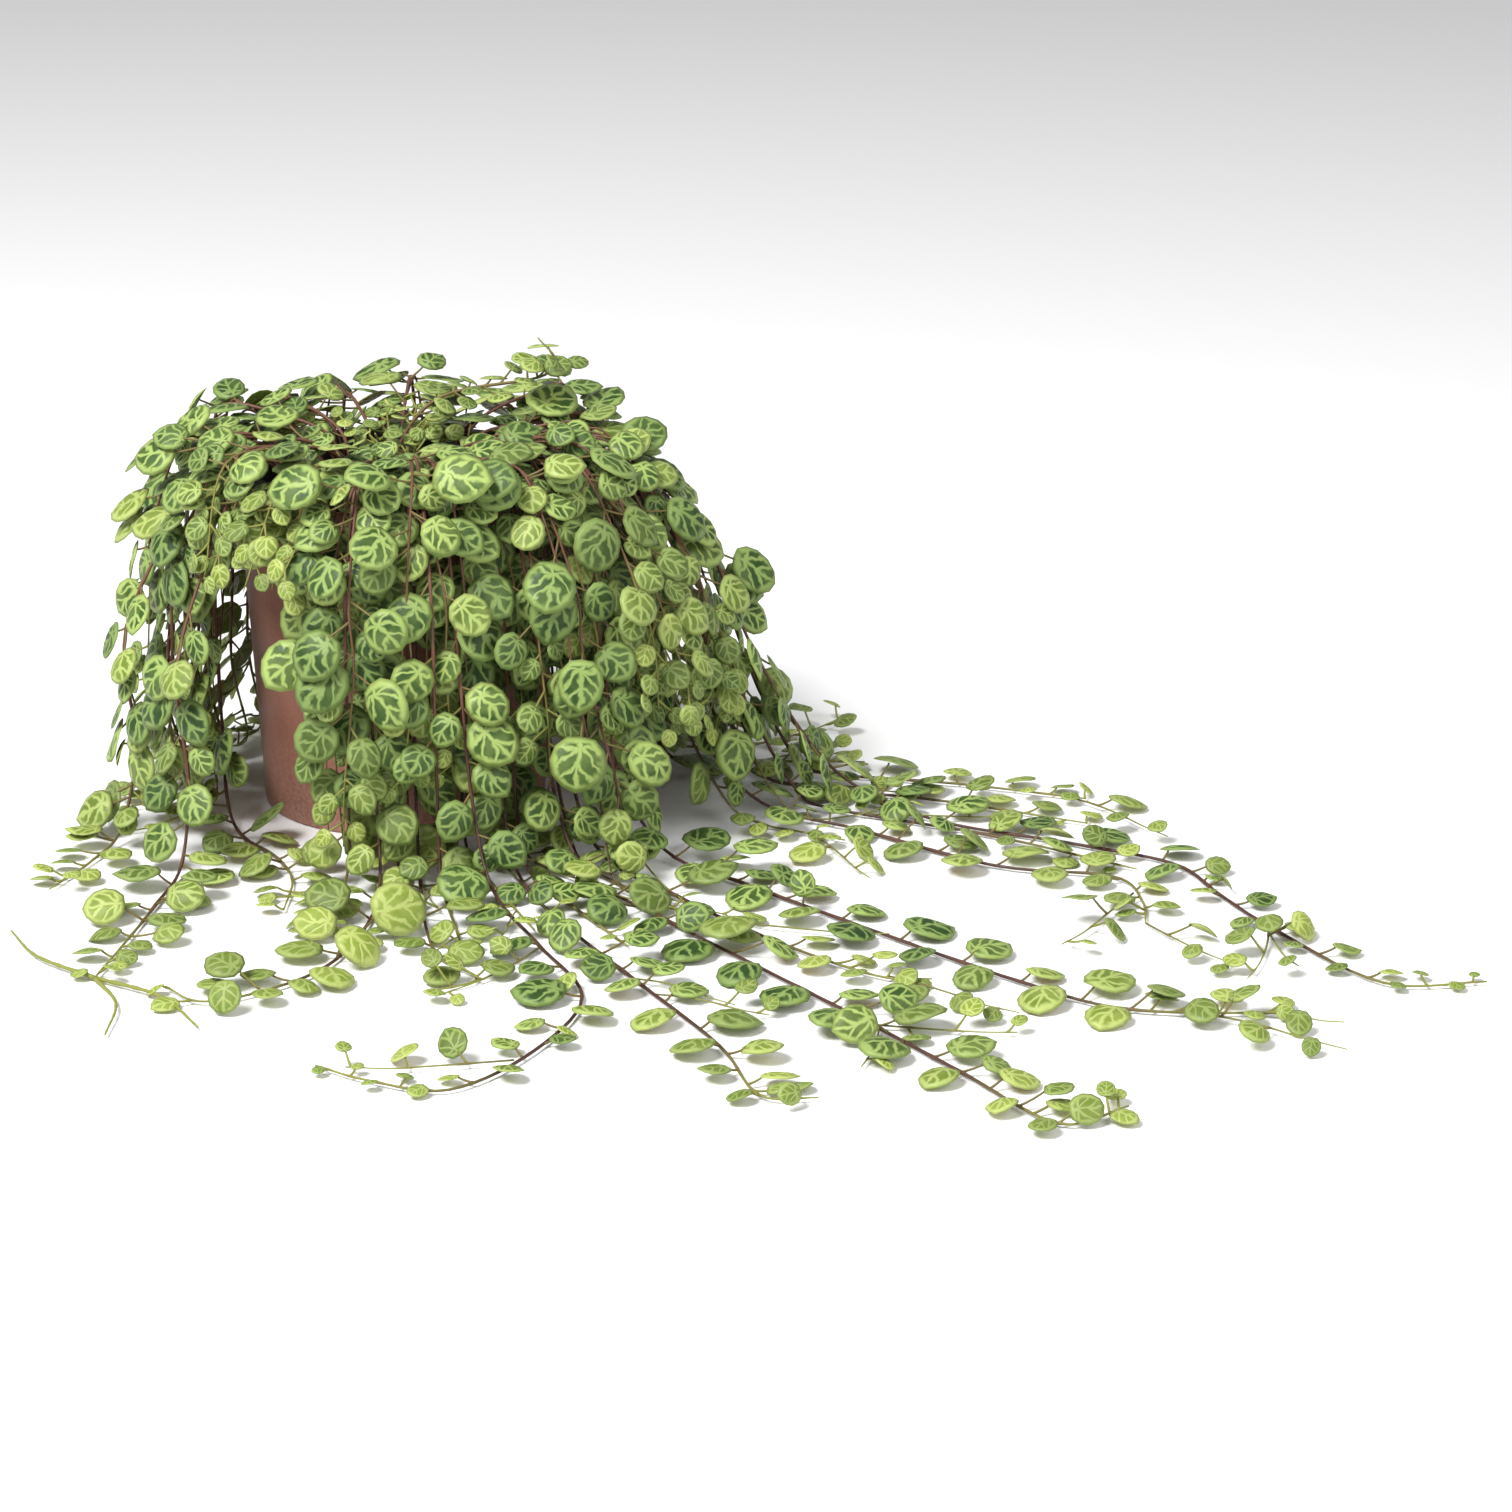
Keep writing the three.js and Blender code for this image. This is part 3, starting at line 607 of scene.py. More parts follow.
class Thicket:
    """Knows where every stem and leaf is, so that a new leaf grows only into free room."""

    MOST_LEAVES = 8000
    SWINGS = ((0, 1), (0.5, 1), (-0.5, 1), (1, 0.92), (0.2, 0.8), (-1, 0.8), (0.6, 0.66))  # swing, size
    THIN_STALK = 0.66
    THIN_LEAF = 0.6
    POT_COST = 50
    ROOM_COST = 90

    def __init__(self, vines: Sequence[Vine]) -> None:
        """Take in the stems and flower spikes of all the vines."""
        self.starts = np.zeros((0, 3))
        self.ends = np.zeros((0, 3))
        self.owners: list[str] = []
        for vine in vines:
            for points in (vine.stem.points, *vine.spikes):
                self.add_stem(points, vine.name)
        self.count = 0
        samples = len(Leaf(*(np.eye(3)[0],) * 5, 1.0).samples())
        shapes = {"centre": (3,), "normal": (3,), "radius": (), "foot": (3,), "backs": (3, 3),
                  "samples": (samples, 3)}
        self.tables = {key: np.zeros((self.MOST_LEAVES, *shape)) for key, shape in shapes.items()}

    def add_stem(self, points: Array, owner: str) -> None:
        """Give a stem its room."""
        self.starts = np.vstack([self.starts, points[:-1]])
        self.ends = np.vstack([self.ends, points[1:]])
        self.owners += [owner] * (len(points) - 1)
        self.owner_table = np.array(self.owners)
        self.middles = (self.starts + self.ends) / 2
        self.halves = np.linalg.norm(self.ends - self.starts, axis=1) / 2

    def add(self, leaf: Leaf) -> None:
        """Give a leaf its room."""
        row = {"centre": leaf.centre, "normal": leaf.normal, "radius": leaf.radius, "foot": leaf.foot,
               "backs": leaf.backs(), "samples": leaf.samples()}
        for key, value in row.items():
            self.tables[key][self.count] = value
        self.count += 1

    @staticmethod
    def in_space(rows: dict[str, Array], points: Array, clear: float) -> Array:
        """Which points lie in the flat room over each blade, or round its stalk.

        Args:
            rows: Centres, normals, radii, feet and backs of k leaves.
            points: Points for all leaves (n, 3), or for each leaf (k, n, 3).
            clear: Room to keep, as a share of the usual room.

        Returns:
            For each leaf, whether any point lies in its room.
        """
        points = np.broadcast_to(points, (len(rows["radius"]),) + points.shape[-2:])
        away = points - rows["centre"][:, None]
        radius = rows["radius"][:, None]
        half = 0.5 * GROWTH.dome * radius
        height = np.abs((away * rows["normal"][:, None]).sum(-1) - half)
        flat = (height < half + GROWTH.leaf_clear * clear) & (
            np.linalg.norm(away, axis=-1) < 1.1 * radius + 0.6 * clear)
        run = rows["backs"] - rows["foot"][:, None]
        reach = points[:, None] - rows["foot"][:, None, None]
        share = np.clip((reach * run[:, :, None]).sum(-1) / (run * run).sum(-1)[..., None], 0, 1)
        near = np.linalg.norm(reach - share[..., None] * run[:, :, None], axis=-1)
        stalk = (near < GROWTH.stalk_clear * clear).any(axis=1)
        return (flat | stalk).any(axis=-1)

    def near(self, place: Array, reach: float) -> dict[str, Array]:
        """The rows of the leaves near a place."""
        apart = np.linalg.norm(self.tables["centre"][:self.count] - place, axis=1)
        pick = apart <= reach + self.tables["radius"][:self.count] + 2 * GROWTH.petiole
        return {key: table[:self.count][pick] for key, table in self.tables.items()}

    def is_free(self, leaf: Leaf, owner: str, clear: float = 1.0) -> bool:
        """Whether a leaf is clear of the pots, the other leaves and the other vines' stems.

        Args:
            leaf: The leaf.
            owner: Name of its vine.
            clear: Room to keep, as a share of the usual room.

        Returns:
            True if it is clear.
        """
        samples = leaf.samples()
        if in_pot(samples).any():
            return False
        own = {"centre": leaf.centre[None], "normal": leaf.normal[None], "radius": np.array([leaf.radius]),
               "foot": leaf.foot[None], "backs": leaf.backs()[None]}
        rows = self.near(leaf.centre, leaf.radius)
        if len(rows["radius"]):
            if self.in_space(rows, samples, clear).any():
                return False
            if self.in_space(own, rows["samples"].reshape(-1, 3), clear).any():
                return False
        close = np.linalg.norm(self.middles - leaf.centre, axis=1) < (
            self.halves + leaf.radius * 1.2 + 2 * GROWTH.petiole)
        pick = close & (self.owner_table != owner)
        if pick.any():
            starts, ends = self.starts[pick], self.ends[pick]
            if segment_distance(starts, ends, samples).min() < GROWTH.stem_clear * clear:
                return False
            if self.in_space(own, np.concatenate([starts, ends]), clear).any():
                return False
        return True

    def grow(self, vine: Vine, seed: int) -> None:
        """Put the full-grown leaves of a vine on alternate sides of its stem."""
        g = GROWTH
        run = vine.stem
        draw = Lehmer(seed)
        length = run.length()
        side = -1 if draw() < 0.5 else 1
        s = max(10.0, length * run.bare)
        while s < length - 1:
            draws = [draw() for _ in range(5)]
            grown = 0.35 if run.young else float(np.clip((length - s) / 60, 0, 1))
            size = (g.young_leaf + (g.leaf - g.young_leaf) * grown) * (0.8 + 0.4 * draws[4])
            foot, along = run.place(s)
            if may_bear(foot):
                for swing, share in self.SWINGS:
                    leaf = leaf_frame(foot, along, side, size * share, draws, swing)
                    if self.is_free(leaf, vine.name):
                        if length - s < run.thin:
                            leaf.centre = leaf.foot + (leaf.centre - leaf.foot) * self.THIN_STALK
                            leaf.radius *= self.THIN_LEAF
                        self.keep(leaf, run, length - s, draws)
                        break
            side = -side
            s += g.spacing * (0.55 + 0.45 * grown) * (0.85 + 0.3 * draws[1])

    def keep(self, leaf: Leaf, run: Run, left: float, draws: Sequence[float]) -> None:
        """Add a leaf to its stem; leaves near the tip, and a few others, are young and pale.

        Args:
            leaf: The leaf.
            run: Its stem.
            left: Length of stem between the leaf and the tip.
            draws: The random numbers that shaped it.
        """
        hanging = 0.5 * float(ease(8, 36, leaf.centre[2]))
        leaf.youth = float(np.clip(1.3 - hanging - left / 85 + run.pale + 0.3 * (draws[2] - 0.5), 0, 1))
        if draws[3] < 0.12:
            leaf.youth = max(leaf.youth, 0.35 + 3 * draws[3])
        if run.young:
            leaf.youth = 0.5
        run.leaves.append(leaf)
        self.add(leaf)

    def fill(self, vine: Vine, run: Run, filling: "Filling", rng: np.random.Generator,
             lowest: float = -1.0) -> None:
        """Put more leaves wherever there is still room along a stem.

        Args:
            vine: The vine.
            run: Its stem, or one of its side shoots.
            filling: How densely, and how closely together.
            rng: Random numbers.
            lowest: Height below which the stem stays as it is.
        """
        g = GROWTH
        length = run.length() - 0.8 * run.thin
        s = max(8.0, length * run.bare) + filling.spacing * rng.random()
        while s < length - 1:
            grown = 0.3 if run.young else float(np.clip((length - s) / 55, 0, 1))
            foot, along = run.place(s)
            if foot[2] > lowest and may_bear(foot):
                on_floor = foot[2] < 8
                on_crown = foot[2] > POT.height - 6
                loose = 2.4 if on_floor or on_crown else 1.4
                tries = filling.tries + 9 * on_crown
                for attempt in range(tries):
                    draws = rng.random(8)
                    share = filling.largest - (filling.largest - filling.smallest) * attempt / tries
                    size = (g.young_leaf * 0.8 + (g.leaf * share - g.young_leaf * 0.8) * grown)
                    size *= 0.85 + 0.3 * draws[4]
                    leaf = leaf_frame(foot, along, 1 if draws[5] < 0.5 else -1, size, draws[:4],
                                      2 * draws[6] - 1, 0.7 + filling.reach * draws[7], loose,
                                      1.0 - 0.55 * draws[1] * (0.8 if on_floor else 1.0),
                                      0.2 if on_floor else 0.9 * draws[0])
                    clear = filling.clear * (0.6 if on_crown else 1.0)
                    if inside_room(leaf) and self.is_free(leaf, vine.name, clear):
                        self.keep(leaf, run, length - s, draws)
                        break
            far = ease(105, 190, math.hypot(foot[0], foot[1]))
            packed = 0.45 if foot[2] > POT.height - 6 else 1 + 1.6 * far
            s += filling.spacing * packed * (0.75 + 0.5 * rng.random())

    def crossings(self, points: Array) -> int:
        """How many leaves a stem would pass through, and more if it would meet the pot or leave the room."""
        share = np.array([0.2, 0.4, 0.6, 0.8, 1.0])[None, :, None]
        places = (points[:-1, None] + (points[1:] - points[:-1])[:, None] * share).reshape(-1, 3)
        centre = places.mean(axis=0)
        rows = self.near(centre, float(np.linalg.norm(places - centre, axis=1).max()))
        outside = ((places < ROOM[0] + [5, 5, -9]) | (places > ROOM[1] - 5)).any()
        met = int(self.in_space(rows, places, 0.6).sum())
        return met + self.POT_COST * int(in_pot(places).any()) + self.ROOM_COST * int(outside)


@dataclass(frozen=True)
class Filling:
    """How the gaps between full-grown leaves are filled.

    The spacing is the distance between tries along a stem, and each place is tried several times with
    leaves from the largest to the smallest share of a full-grown one. The reach is how much longer than
    usual a stalk may be, and clear is the room kept, as a share of the usual room.
    """

    spacing: float = 5.0
    tries: int = 7
    largest: float = 1.18
    smallest: float = 0.62
    reach: float = 1.6
    clear: float = 0.22


@dataclass
class Branching:
    """Side shoots: thin stems that leave a vine near the rim and hang beside it."""

    seed: int = 41
    candidates: int = 7
    spread: float = 7.0
    arch: float = 32.0
    start: tuple[float, float] = (0.9, 1.35)

    def __post_init__(self) -> None:
        """Start the random numbers."""
        self.rng = np.random.default_rng(self.seed)

    def count(self, bearing: float) -> int:
        """How many side shoots a vine has: most at the front and the right, where it is fullest."""
        return 2 if -108 < bearing < 20 else 1

    def foot(self, bearing: float) -> float:
        """Height at which a side shoot ends."""
        if -150 < bearing < -104:
            return POT.height * self.rng.uniform(0.8, 0.92)
        if -44 < bearing < -20:
            return POT.height * self.rng.uniform(0.3, 0.5)
        return POT.height * self.rng.choice([0.0, 0.0, 0.12, 0.3, 0.45])

    def route(self, vine: Vine) -> Array:
        """The points of one side shoot: from the vine's arch, down beside the pot, to its tip."""
        rng = self.rng
        start, _ = vine.stem.place(rng.uniform(*self.start) * self.arch)
        own = math.degrees(math.atan2(start[1], start[0]))
        bearing = own + rng.uniform(2.0, self.spread) * rng.choice([-1, 1])
        layer = rng.uniform(0, 1.15)
        out = hang_out(bearing, layer)
        slope = slope_out(bearing)
        foot = self.foot(bearing)
        sway = rng.uniform(-5, 5)
        route = [start, hang((own + bearing) / 2, out * 0.6, max(start[2], POT.height + 1))]
        for share in (0.84, 0.66, 0.48, 0.3, 0.14):
            if POT.height * share > foot + 5:
                wave = sway * math.sin(share * 7) / 3
                route.append(hang(bearing + wave, out + (1 - share) * (6 + slope), POT.height * share))
        if foot > 0:
            route.append(hang(bearing + sway * 0.5, out + 3 + slope * 0.4, foot))
        else:
            landing = out + slope + 20
            run = rng.uniform(10, 42) * (1 - 0.8 * leftward(bearing))
            turn = rng.uniform(-9, 9)
            route += [lie(bearing, landing - 8, 1.5), lie(bearing + turn * 0.5, landing + run * 0.5, 0.5),
                      lie(bearing + turn, landing + run, 1.0)]
        return np.array(route)

    def ground_route(self, vine: Vine) -> Array:
        """The points of a short side shoot that creeps over the surface beside its vine."""
        rng = self.rng
        laid = np.flatnonzero(vine.stem.points[:, 2] < 3)
        step = rng.integers(laid[0], max(laid[0] + 1, min(laid[-1], laid[0] + 4)))
        start = vine.stem.points[step] + (vine.stem.points[step + 1] - vine.stem.points[step]) * rng.random()
        ahead = unit(vine.stem.points[step + 1] - vine.stem.points[step])
        heading = math.degrees(math.atan2(ahead[1], ahead[0])) + rng.uniform(14, 42) * rng.choice([-1, 1])
        reach, curl = rng.uniform(18, 52), rng.uniform(-14, 14)
        steps = np.arange(1, 5) / 4
        offsets = np.array([at(heading + curl * share, reach * share, 0) for share in steps])
        route = np.vstack([start, start + offsets])
        route[1:, 2] = GROWTH.stem_floor + np.array([1.4, 1.6, 1.0, 2.0]) * rng.random()
        return route

    def grow(self, vine: Vine, thicket: Thicket) -> None:
        """Give a vine its side shoots, each the one of several that meets the fewest leaves."""
        for _ in range(self.count(vine.bearing)):
            self.take(vine, thicket, self.route, 0.08)
        lying = int((vine.stem.points[:, 2] < 3).sum())
        if lying > 1 and -80 < vine.bearing < 20:
            for _ in range(2 if vine.habit is Habit.TRAILING else 1):
                self.take(vine, thicket, self.ground_route, 0.0)

    def take(self, vine: Vine, thicket: Thicket, route: Callable[[Vine], Array], bare: float) -> None:
        """Add the best of several routes to a vine as a side shoot."""
        best = min((route(vine) for _ in range(self.candidates)), key=thicket.crossings)
        vine.shoots.append(Run(best, bare=bare, pale=self.rng.uniform(-0.3, 0.3)))
        thicket.add_stem(best, vine.name)


# ---- Meshes ---------------------------------------------------------------------------------------

def new_piece(name: str, vertices: Array, groups: list[Array]) -> bpy.types.Object:
    """A smooth-shaded object at the origin from vertices in millimetres.

    Args:
        name: The piece's name.
        vertices: Its vertices (n, 3).
        groups: Its faces, as arrays of vertex indices, one for each number of corners.

    Returns:
        The object, linked to the scene.
    """
    mesh = bpy.data.meshes.new(name)
    loops = np.concatenate([group.reshape(-1) for group in groups]).astype(np.int32)
    totals = np.concatenate([np.full(len(group), group.shape[1]) for group in groups])
    starts = np.concatenate([[0], np.cumsum(totals)[:-1]]).astype(np.int32)
    mesh.vertices.add(len(vertices))
    mesh.vertices.foreach_set("co", (vertices * MM).astype(np.float32).reshape(-1))
    mesh.loops.add(len(loops))
    mesh.loops.foreach_set("vertex_index", loops)
    mesh.polygons.add(len(totals))
    mesh.polygons.foreach_set("loop_start", starts)
    mesh.update(calc_edges=True)
    mesh.validate()
    mesh.polygons.foreach_set("use_smooth", np.ones(len(mesh.polygons), bool))
    piece = bpy.data.objects.new(name, mesh)
    bpy.context.scene.collection.objects.link(piece)
    return piece


def add_uv(piece: bpy.types.Object, name: str, corners: Array) -> None:
    """Give a piece a UV map from its corners' coordinates (corners, 2)."""
    layer = piece.data.uv_layers.new(name=name)
    layer.data.foreach_set("uv", corners.astype(np.float32).reshape(-1))


def add_corner_colour(piece: bpy.types.Object, name: str, corners: Array) -> None:
    """Give a piece an attribute of four numbers per corner (corners, 4)."""
    layer = piece.data.color_attributes.new(name=name, type="FLOAT_COLOR", domain="CORNER")
    layer.data.foreach_set("color", corners.astype(np.float32).reshape(-1))


def finish_piece(piece: bpy.types.Object, material: bpy.types.Material, slot: str, *nodes: str) -> None:
    """Dress a piece, let it ride on the body, and hide the CAD nodes that it stands for."""
    piece.data.materials.append(material)
    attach(piece, "root")
    if nodes:
        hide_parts(*nodes)


def turned(name: str, outline: Array, segments: int = 144,
           relief: Callable[[Array, Array], Array] | None = None) -> bpy.types.Object:
    """A surface of revolution about +Z.

    The outline's points (radius, height) are carried round in equal steps; points on the axis become
    one vertex each, closed by a fan of triangles.

    Args:
        name: The piece's name.
        outline: Points from the axis round to the axis again, counter-clockwise in (radius, height).
        segments: Steps round the axis.
        relief: Moves the heights, from the vertices' places and their row numbers.

    Returns:
        The piece.
    """
    angle = np.arange(segments) / segments * 2 * math.pi
    body = outline[1:-1]
    ring = np.stack([np.outer(body[:, 0], np.cos(angle)), np.outer(body[:, 0], np.sin(angle)),
                     np.repeat(body[:, 1:], segments, axis=1)], axis=-1).reshape(-1, 3)
    poles = np.array([[0, 0, outline[0, 1]], [0, 0, outline[-1, 1]]])
    vertices = np.vstack([ring, poles])
    if relief is not None:
        vertices = relief(vertices)
    row, col = np.meshgrid(np.arange(len(body) - 1), np.arange(segments), indexing="ij")
    after = (col + 1) % segments
    quads = np.stack([row * segments + col, row * segments + after, (row + 1) * segments + after,
                      (row + 1) * segments + col], axis=-1).reshape(-1, 4)
    step = np.arange(segments)
    following = (step + 1) % segments
    last = (len(body) - 1) * segments
    first_fan = np.stack([np.full(segments, len(ring)), following, step], axis=-1)
    last_fan = np.stack([np.full(segments, len(ring) + 1), last + step, last + following], axis=-1)
    return new_piece(name, vertices, [quads, first_fan, last_fan])


def rounded(points: Sequence[tuple[float, float, float]], steps: int = 5) -> Array:
    """An outline with its corners rounded.

    Each corner becomes a quadratic arc from a point on one side to a point on the other, both its
    radius away from the corner.

    Args:
        points: Corners as (radius from the axis, height, rounding).
        steps: Points on each arc.

    Returns:
        The outline's points.
    """
    corner = np.array([p[:2] for p in points])
    size = np.array([p[2] for p in points])
    out = [corner[:1]]
    t = np.linspace(0, 1, steps)[:, None]
    for i in range(1, len(points) - 1):
        if size[i] <= 0:
            out.append(corner[i:i + 1])
            continue
        start = corner[i] + unit(corner[i - 1] - corner[i]) * size[i]
        stop = corner[i] + unit(corner[i + 1] - corner[i]) * size[i]
        out.append((1 - t) ** 2 * start + 2 * t * (1 - t) * corner[i] + t ** 2 * stop)
    out.append(corner[-1:])
    return np.vstack(out)


def frames_along(path: Array) -> tuple[Array, Array]:
    """Two cross axes for a tube along a path.

    The first is square to the path and to the pot's tangent direction high up, or to the vertical
    near the surface, blended by height so that it never turns suddenly. The second is square to both.

    Args:
        path: The stations (n, 3).

    Returns:
        The two axes (n, 3 each).
    """
    tangent = unit(np.gradient(path, axis=0))
    middle = path.mean(axis=0)
    round_pot = np.array([-middle[1], middle[0], 0.0])
    round_pot = unit(round_pot + np.array([1e-6, 0, 0]))
    low = ease(22, 6, path[:, 2])[:, None]
    guide = unit(round_pot[None] * (1 - low) + UP[None] * low)
    first = unit(np.cross(tangent, guide))
    return first, np.cross(first, tangent)


def tube(path: Array, radii: Array, sides: int, start: int = 0) -> tuple[Array, Array, Array]:
    """A closed round tube along a path.

    A circle of the given radius is carried along the path; each end is closed by a fan to its own
    middle point.

    Args:
        path: Stations (n, 3).
        radii: Radius at each station (n,).
        sides: Steps round the tube.
        start: Number of the tube's first vertex.

    Returns:
        Vertices, quads and end triangles.
    """
    first, second = frames_along(path)
    angle = np.arange(sides) / sides * 2 * math.pi
    round_it = (first[:, None] * np.cos(angle)[None, :, None]
                + second[:, None] * np.sin(angle)[None, :, None])
    ring = (path[:, None] + round_it * radii[:, None, None]).reshape(-1, 3)
    vertices = np.vstack([ring, path[:1], path[-1:]])
    row, col = np.meshgrid(np.arange(len(path) - 1), np.arange(sides), indexing="ij")
    after = (col + 1) % sides
    quads = np.stack([row * sides + col, (row + 1) * sides + col, (row + 1) * sides + after,
                      row * sides + after], axis=-1).reshape(-1, 4)
    step = np.arange(sides)
    following = (step + 1) % sides
    last = (len(path) - 1) * sides
    caps = np.vstack([
        np.stack([np.full(sides, len(ring)), step, following], axis=-1),
        np.stack([np.full(sides, len(ring) + 1), last + following, last + step], axis=-1)])
    return vertices, quads + start, caps + start


# ---- Node building --------------------------------------------------------------------------------

Socket = bpy.types.NodeSocket


class Nodes:
    """Short ways to add and join shader nodes in one tree."""

    def __init__(self, tree: bpy.types.NodeTree) -> None:
        """Work in a tree."""
        self.tree = tree

    def add(self, kind: str, **settings: object) -> bpy.types.Node:
        """Add a node and set its properties."""
        node = self.tree.nodes.new(kind)
        for key, value in settings.items():
            setattr(node, key, value)
        return node

    def join(self, source: Socket | float | tuple, target: Socket) -> None:
        """Link a socket, or set a plain value."""
        if isinstance(source, bpy.types.NodeSocket):
            self.tree.links.new(source, target)
        else:
            target.default_value = source

    def math(self, operation: str, first: Socket | float, second: Socket | float = 0.0,
             third: Socket | float = 0.0) -> Socket:
        """A Math node's result."""
        node = self.add("ShaderNodeMath", operation=operation)
        for value, target in zip((first, second, third), node.inputs):
            self.join(value, target)
        return node.outputs[0]

    def step(self, value: Socket, low: float, high: float, bottom: float = 0.0,
             top: float = 1.0) -> Socket:
        """A smooth step of a value between two limits."""
        node = self.add("ShaderNodeMapRange", interpolation_type="SMOOTHSTEP")
        self.join(value, node.inputs["Value"])
        for key, number in (("From Min", low), ("From Max", high), ("To Min", bottom), ("To Max", top)):
            node.inputs[key].default_value = number
        return node.outputs[0]

    def mix(self, factor: Socket | float, first: Socket | tuple, second: Socket | tuple,
            blend: str = "MIX") -> Socket:
        """A mix of two colours."""
        node = self.add("ShaderNodeMix", data_type="RGBA", blend_type=blend)
        self.join(factor, node.inputs[0])
        self.join(first, node.inputs[6])
        self.join(second, node.inputs[7])
        return node.outputs[2]

    def noise(self, vector: Socket, scale: float, detail: float = 3.0, roughness: float = 0.5) -> Socket:
        """A noise texture's value."""
        node = self.add("ShaderNodeTexNoise")
        self.join(vector, node.inputs["Vector"])
        node.inputs["Scale"].default_value = scale
        node.inputs["Detail"].default_value = detail
        node.inputs["Roughness"].default_value = roughness
        return node.outputs[0]

    def object_place(self) -> Socket:
        """The Object coordinates."""
        return self.add("ShaderNodeTexCoord").outputs["Object"]

    def group(self, tree: bpy.types.NodeTree, **inputs: Socket | float | tuple) -> bpy.types.Node:
        """Place a node group with its inputs."""
        node = self.add("ShaderNodeGroup", node_tree=tree)
        for key, value in inputs.items():
            self.join(value, node.inputs[key.replace("_", " ").title()])
        return node


def new_group(name: str, inputs: Sequence[tuple[str, str, object]],
              outputs: Sequence[tuple[str, str]]) -> tuple[bpy.types.NodeTree, Nodes, dict, dict]:
    """An empty shader node group with its sockets.

    Args:
        name: The group's name.
        inputs: Name, socket kind and default of each input.
        outputs: Name and socket kind of each output.

    Returns:
        The tree, its node helper, the inputs' sockets by name, and the outputs' sockets by name.
    """
    tree = bpy.data.node_groups.new(name, "ShaderNodeTree")
    for label, kind, default in inputs:
        socket = tree.interface.new_socket(name=label, in_out="INPUT", socket_type=kind)
        if default is not None:
            socket.default_value = default
    for label, kind in outputs:
        tree.interface.new_socket(name=label, in_out="OUTPUT", socket_type=kind)
    nodes = Nodes(tree)
    source = nodes.add("NodeGroupInput")
    sink = nodes.add("NodeGroupOutput")
    return (tree, nodes, {s.name: s for s in source.outputs if s.name},
            {s.name: s for s in sink.inputs if s.name})


FLOAT, COLOUR, VECTOR = "NodeSocketFloat", "NodeSocketColor", "NodeSocketVector"


def leaf_veins_group() -> bpy.types.NodeTree:
    """The pale net of veins on a leaf's face.

    In leaf coordinates (x across, y from stalk to tip, both -1 to 1) the midrib is the line x = 0. The
    side veins leave it from two points, mirrored across it, and bend towards the tip: a share of x
    squared is taken from y before the distance to a straight line is found. Each vein's mask falls off
    with that distance; a pale ring at a fixed distance from the middle closes the net, so that dark
    patches are left between. The place is shifted by noise first, so that no two nets are alike.
    """
    tree, n, given, result = new_group(
        "leaf veins",
        [("Leaf Place", VECTOR, None), ("Grain Place", VECTOR, None), ("Width", FLOAT, 0.1)],
        [("Veins", FLOAT), ("Middle", FLOAT)])
    wobble = n.add("ShaderNodeTexNoise")
    n.join(given["Grain Place"], wobble.inputs["Vector"])
    wobble.inputs["Scale"].default_value = 210.0
    wobble.inputs["Detail"].default_value = 2.0
    shift = n.add("ShaderNodeVectorMath", operation="MULTIPLY_ADD")
    n.join(wobble.outputs["Color"], shift.inputs[0])
    shift.inputs[1].default_value = (0.7, 0.7, 0.0)
    shift.inputs[2].default_value = (-0.35, -0.35, 0.0)
    moved = n.add("ShaderNodeVectorMath", operation="ADD")
    n.join(given["Leaf Place"], moved.inputs[0])
    n.join(shift.outputs[0], moved.inputs[1])
    parts = n.add("ShaderNodeSeparateXYZ")
    n.join(moved.outputs[0], parts.inputs[0])
    side = n.math("ABSOLUTE", parts.outputs[0])
    along = parts.outputs[1]
    width = given["Width"]
    midrib = n.math("DIVIDE", side, n.math("MULTIPLY", width, 1.15))
    nearest = midrib
    for origin, degrees, bend in ((-0.55, 52.0, 0.34), (-0.50, 100.0, 0.30), (0.08, 50.0, 0.22)):
        angle = math.radians(degrees)
        square = n.math("MULTIPLY", n.math("MULTIPLY", side, side), bend)
        lift = n.math("SUBTRACT", n.math("SUBTRACT", along, origin), square)
        across = n.math("ABSOLUTE", n.math("SUBTRACT", n.math("MULTIPLY", side, math.cos(angle)),
                                           n.math("MULTIPLY", lift, math.sin(angle))))
        ahead = n.math("ADD", n.math("MULTIPLY", side, math.sin(angle)),
                       n.math("MULTIPLY", lift, math.cos(angle)))
        behind = n.math("MULTIPLY", n.math("MAXIMUM", n.math("MULTIPLY", ahead, -1.0), 0.0), 6.0)
        nearest = n.math("MINIMUM", nearest, n.math("ADD", n.math("DIVIDE", across, width), behind))
    veins = n.step(nearest, 1.45, 0.3)
    flat = n.add("ShaderNodeVectorMath", operation="LENGTH")
    n.join(moved.outputs[0], flat.inputs[0])
    ring = n.step(flat.outputs["Value"], 0.66, 0.84)
    n.join(n.math("MAXIMUM", veins, ring), result["Veins"])
    n.join(n.step(midrib, 1.0, 0.2), result["Middle"])
    return tree


def mottle_group() -> bpy.types.NodeTree:
    """Two scales of noise: a broad mottle and a fine grain, both from 0 to 1."""
    tree, n, given, result = new_group(
        "mottle", [("Place", VECTOR, None), ("Broad", FLOAT, 40.0), ("Fine", FLOAT, 600.0)],
        [("Mottle", FLOAT), ("Grain", FLOAT)])
    for source, label, low, high in (("Broad", "Mottle", 0.35, 0.65), ("Fine", "Grain", 0.3, 0.7)):
        node = n.add("ShaderNodeTexNoise")
        n.join(given["Place"], node.inputs["Vector"])
        n.join(given[source], node.inputs["Scale"])
        node.inputs["Detail"].default_value = 3.0
        n.join(n.step(node.outputs[0], low, high), result[label])
    return tree


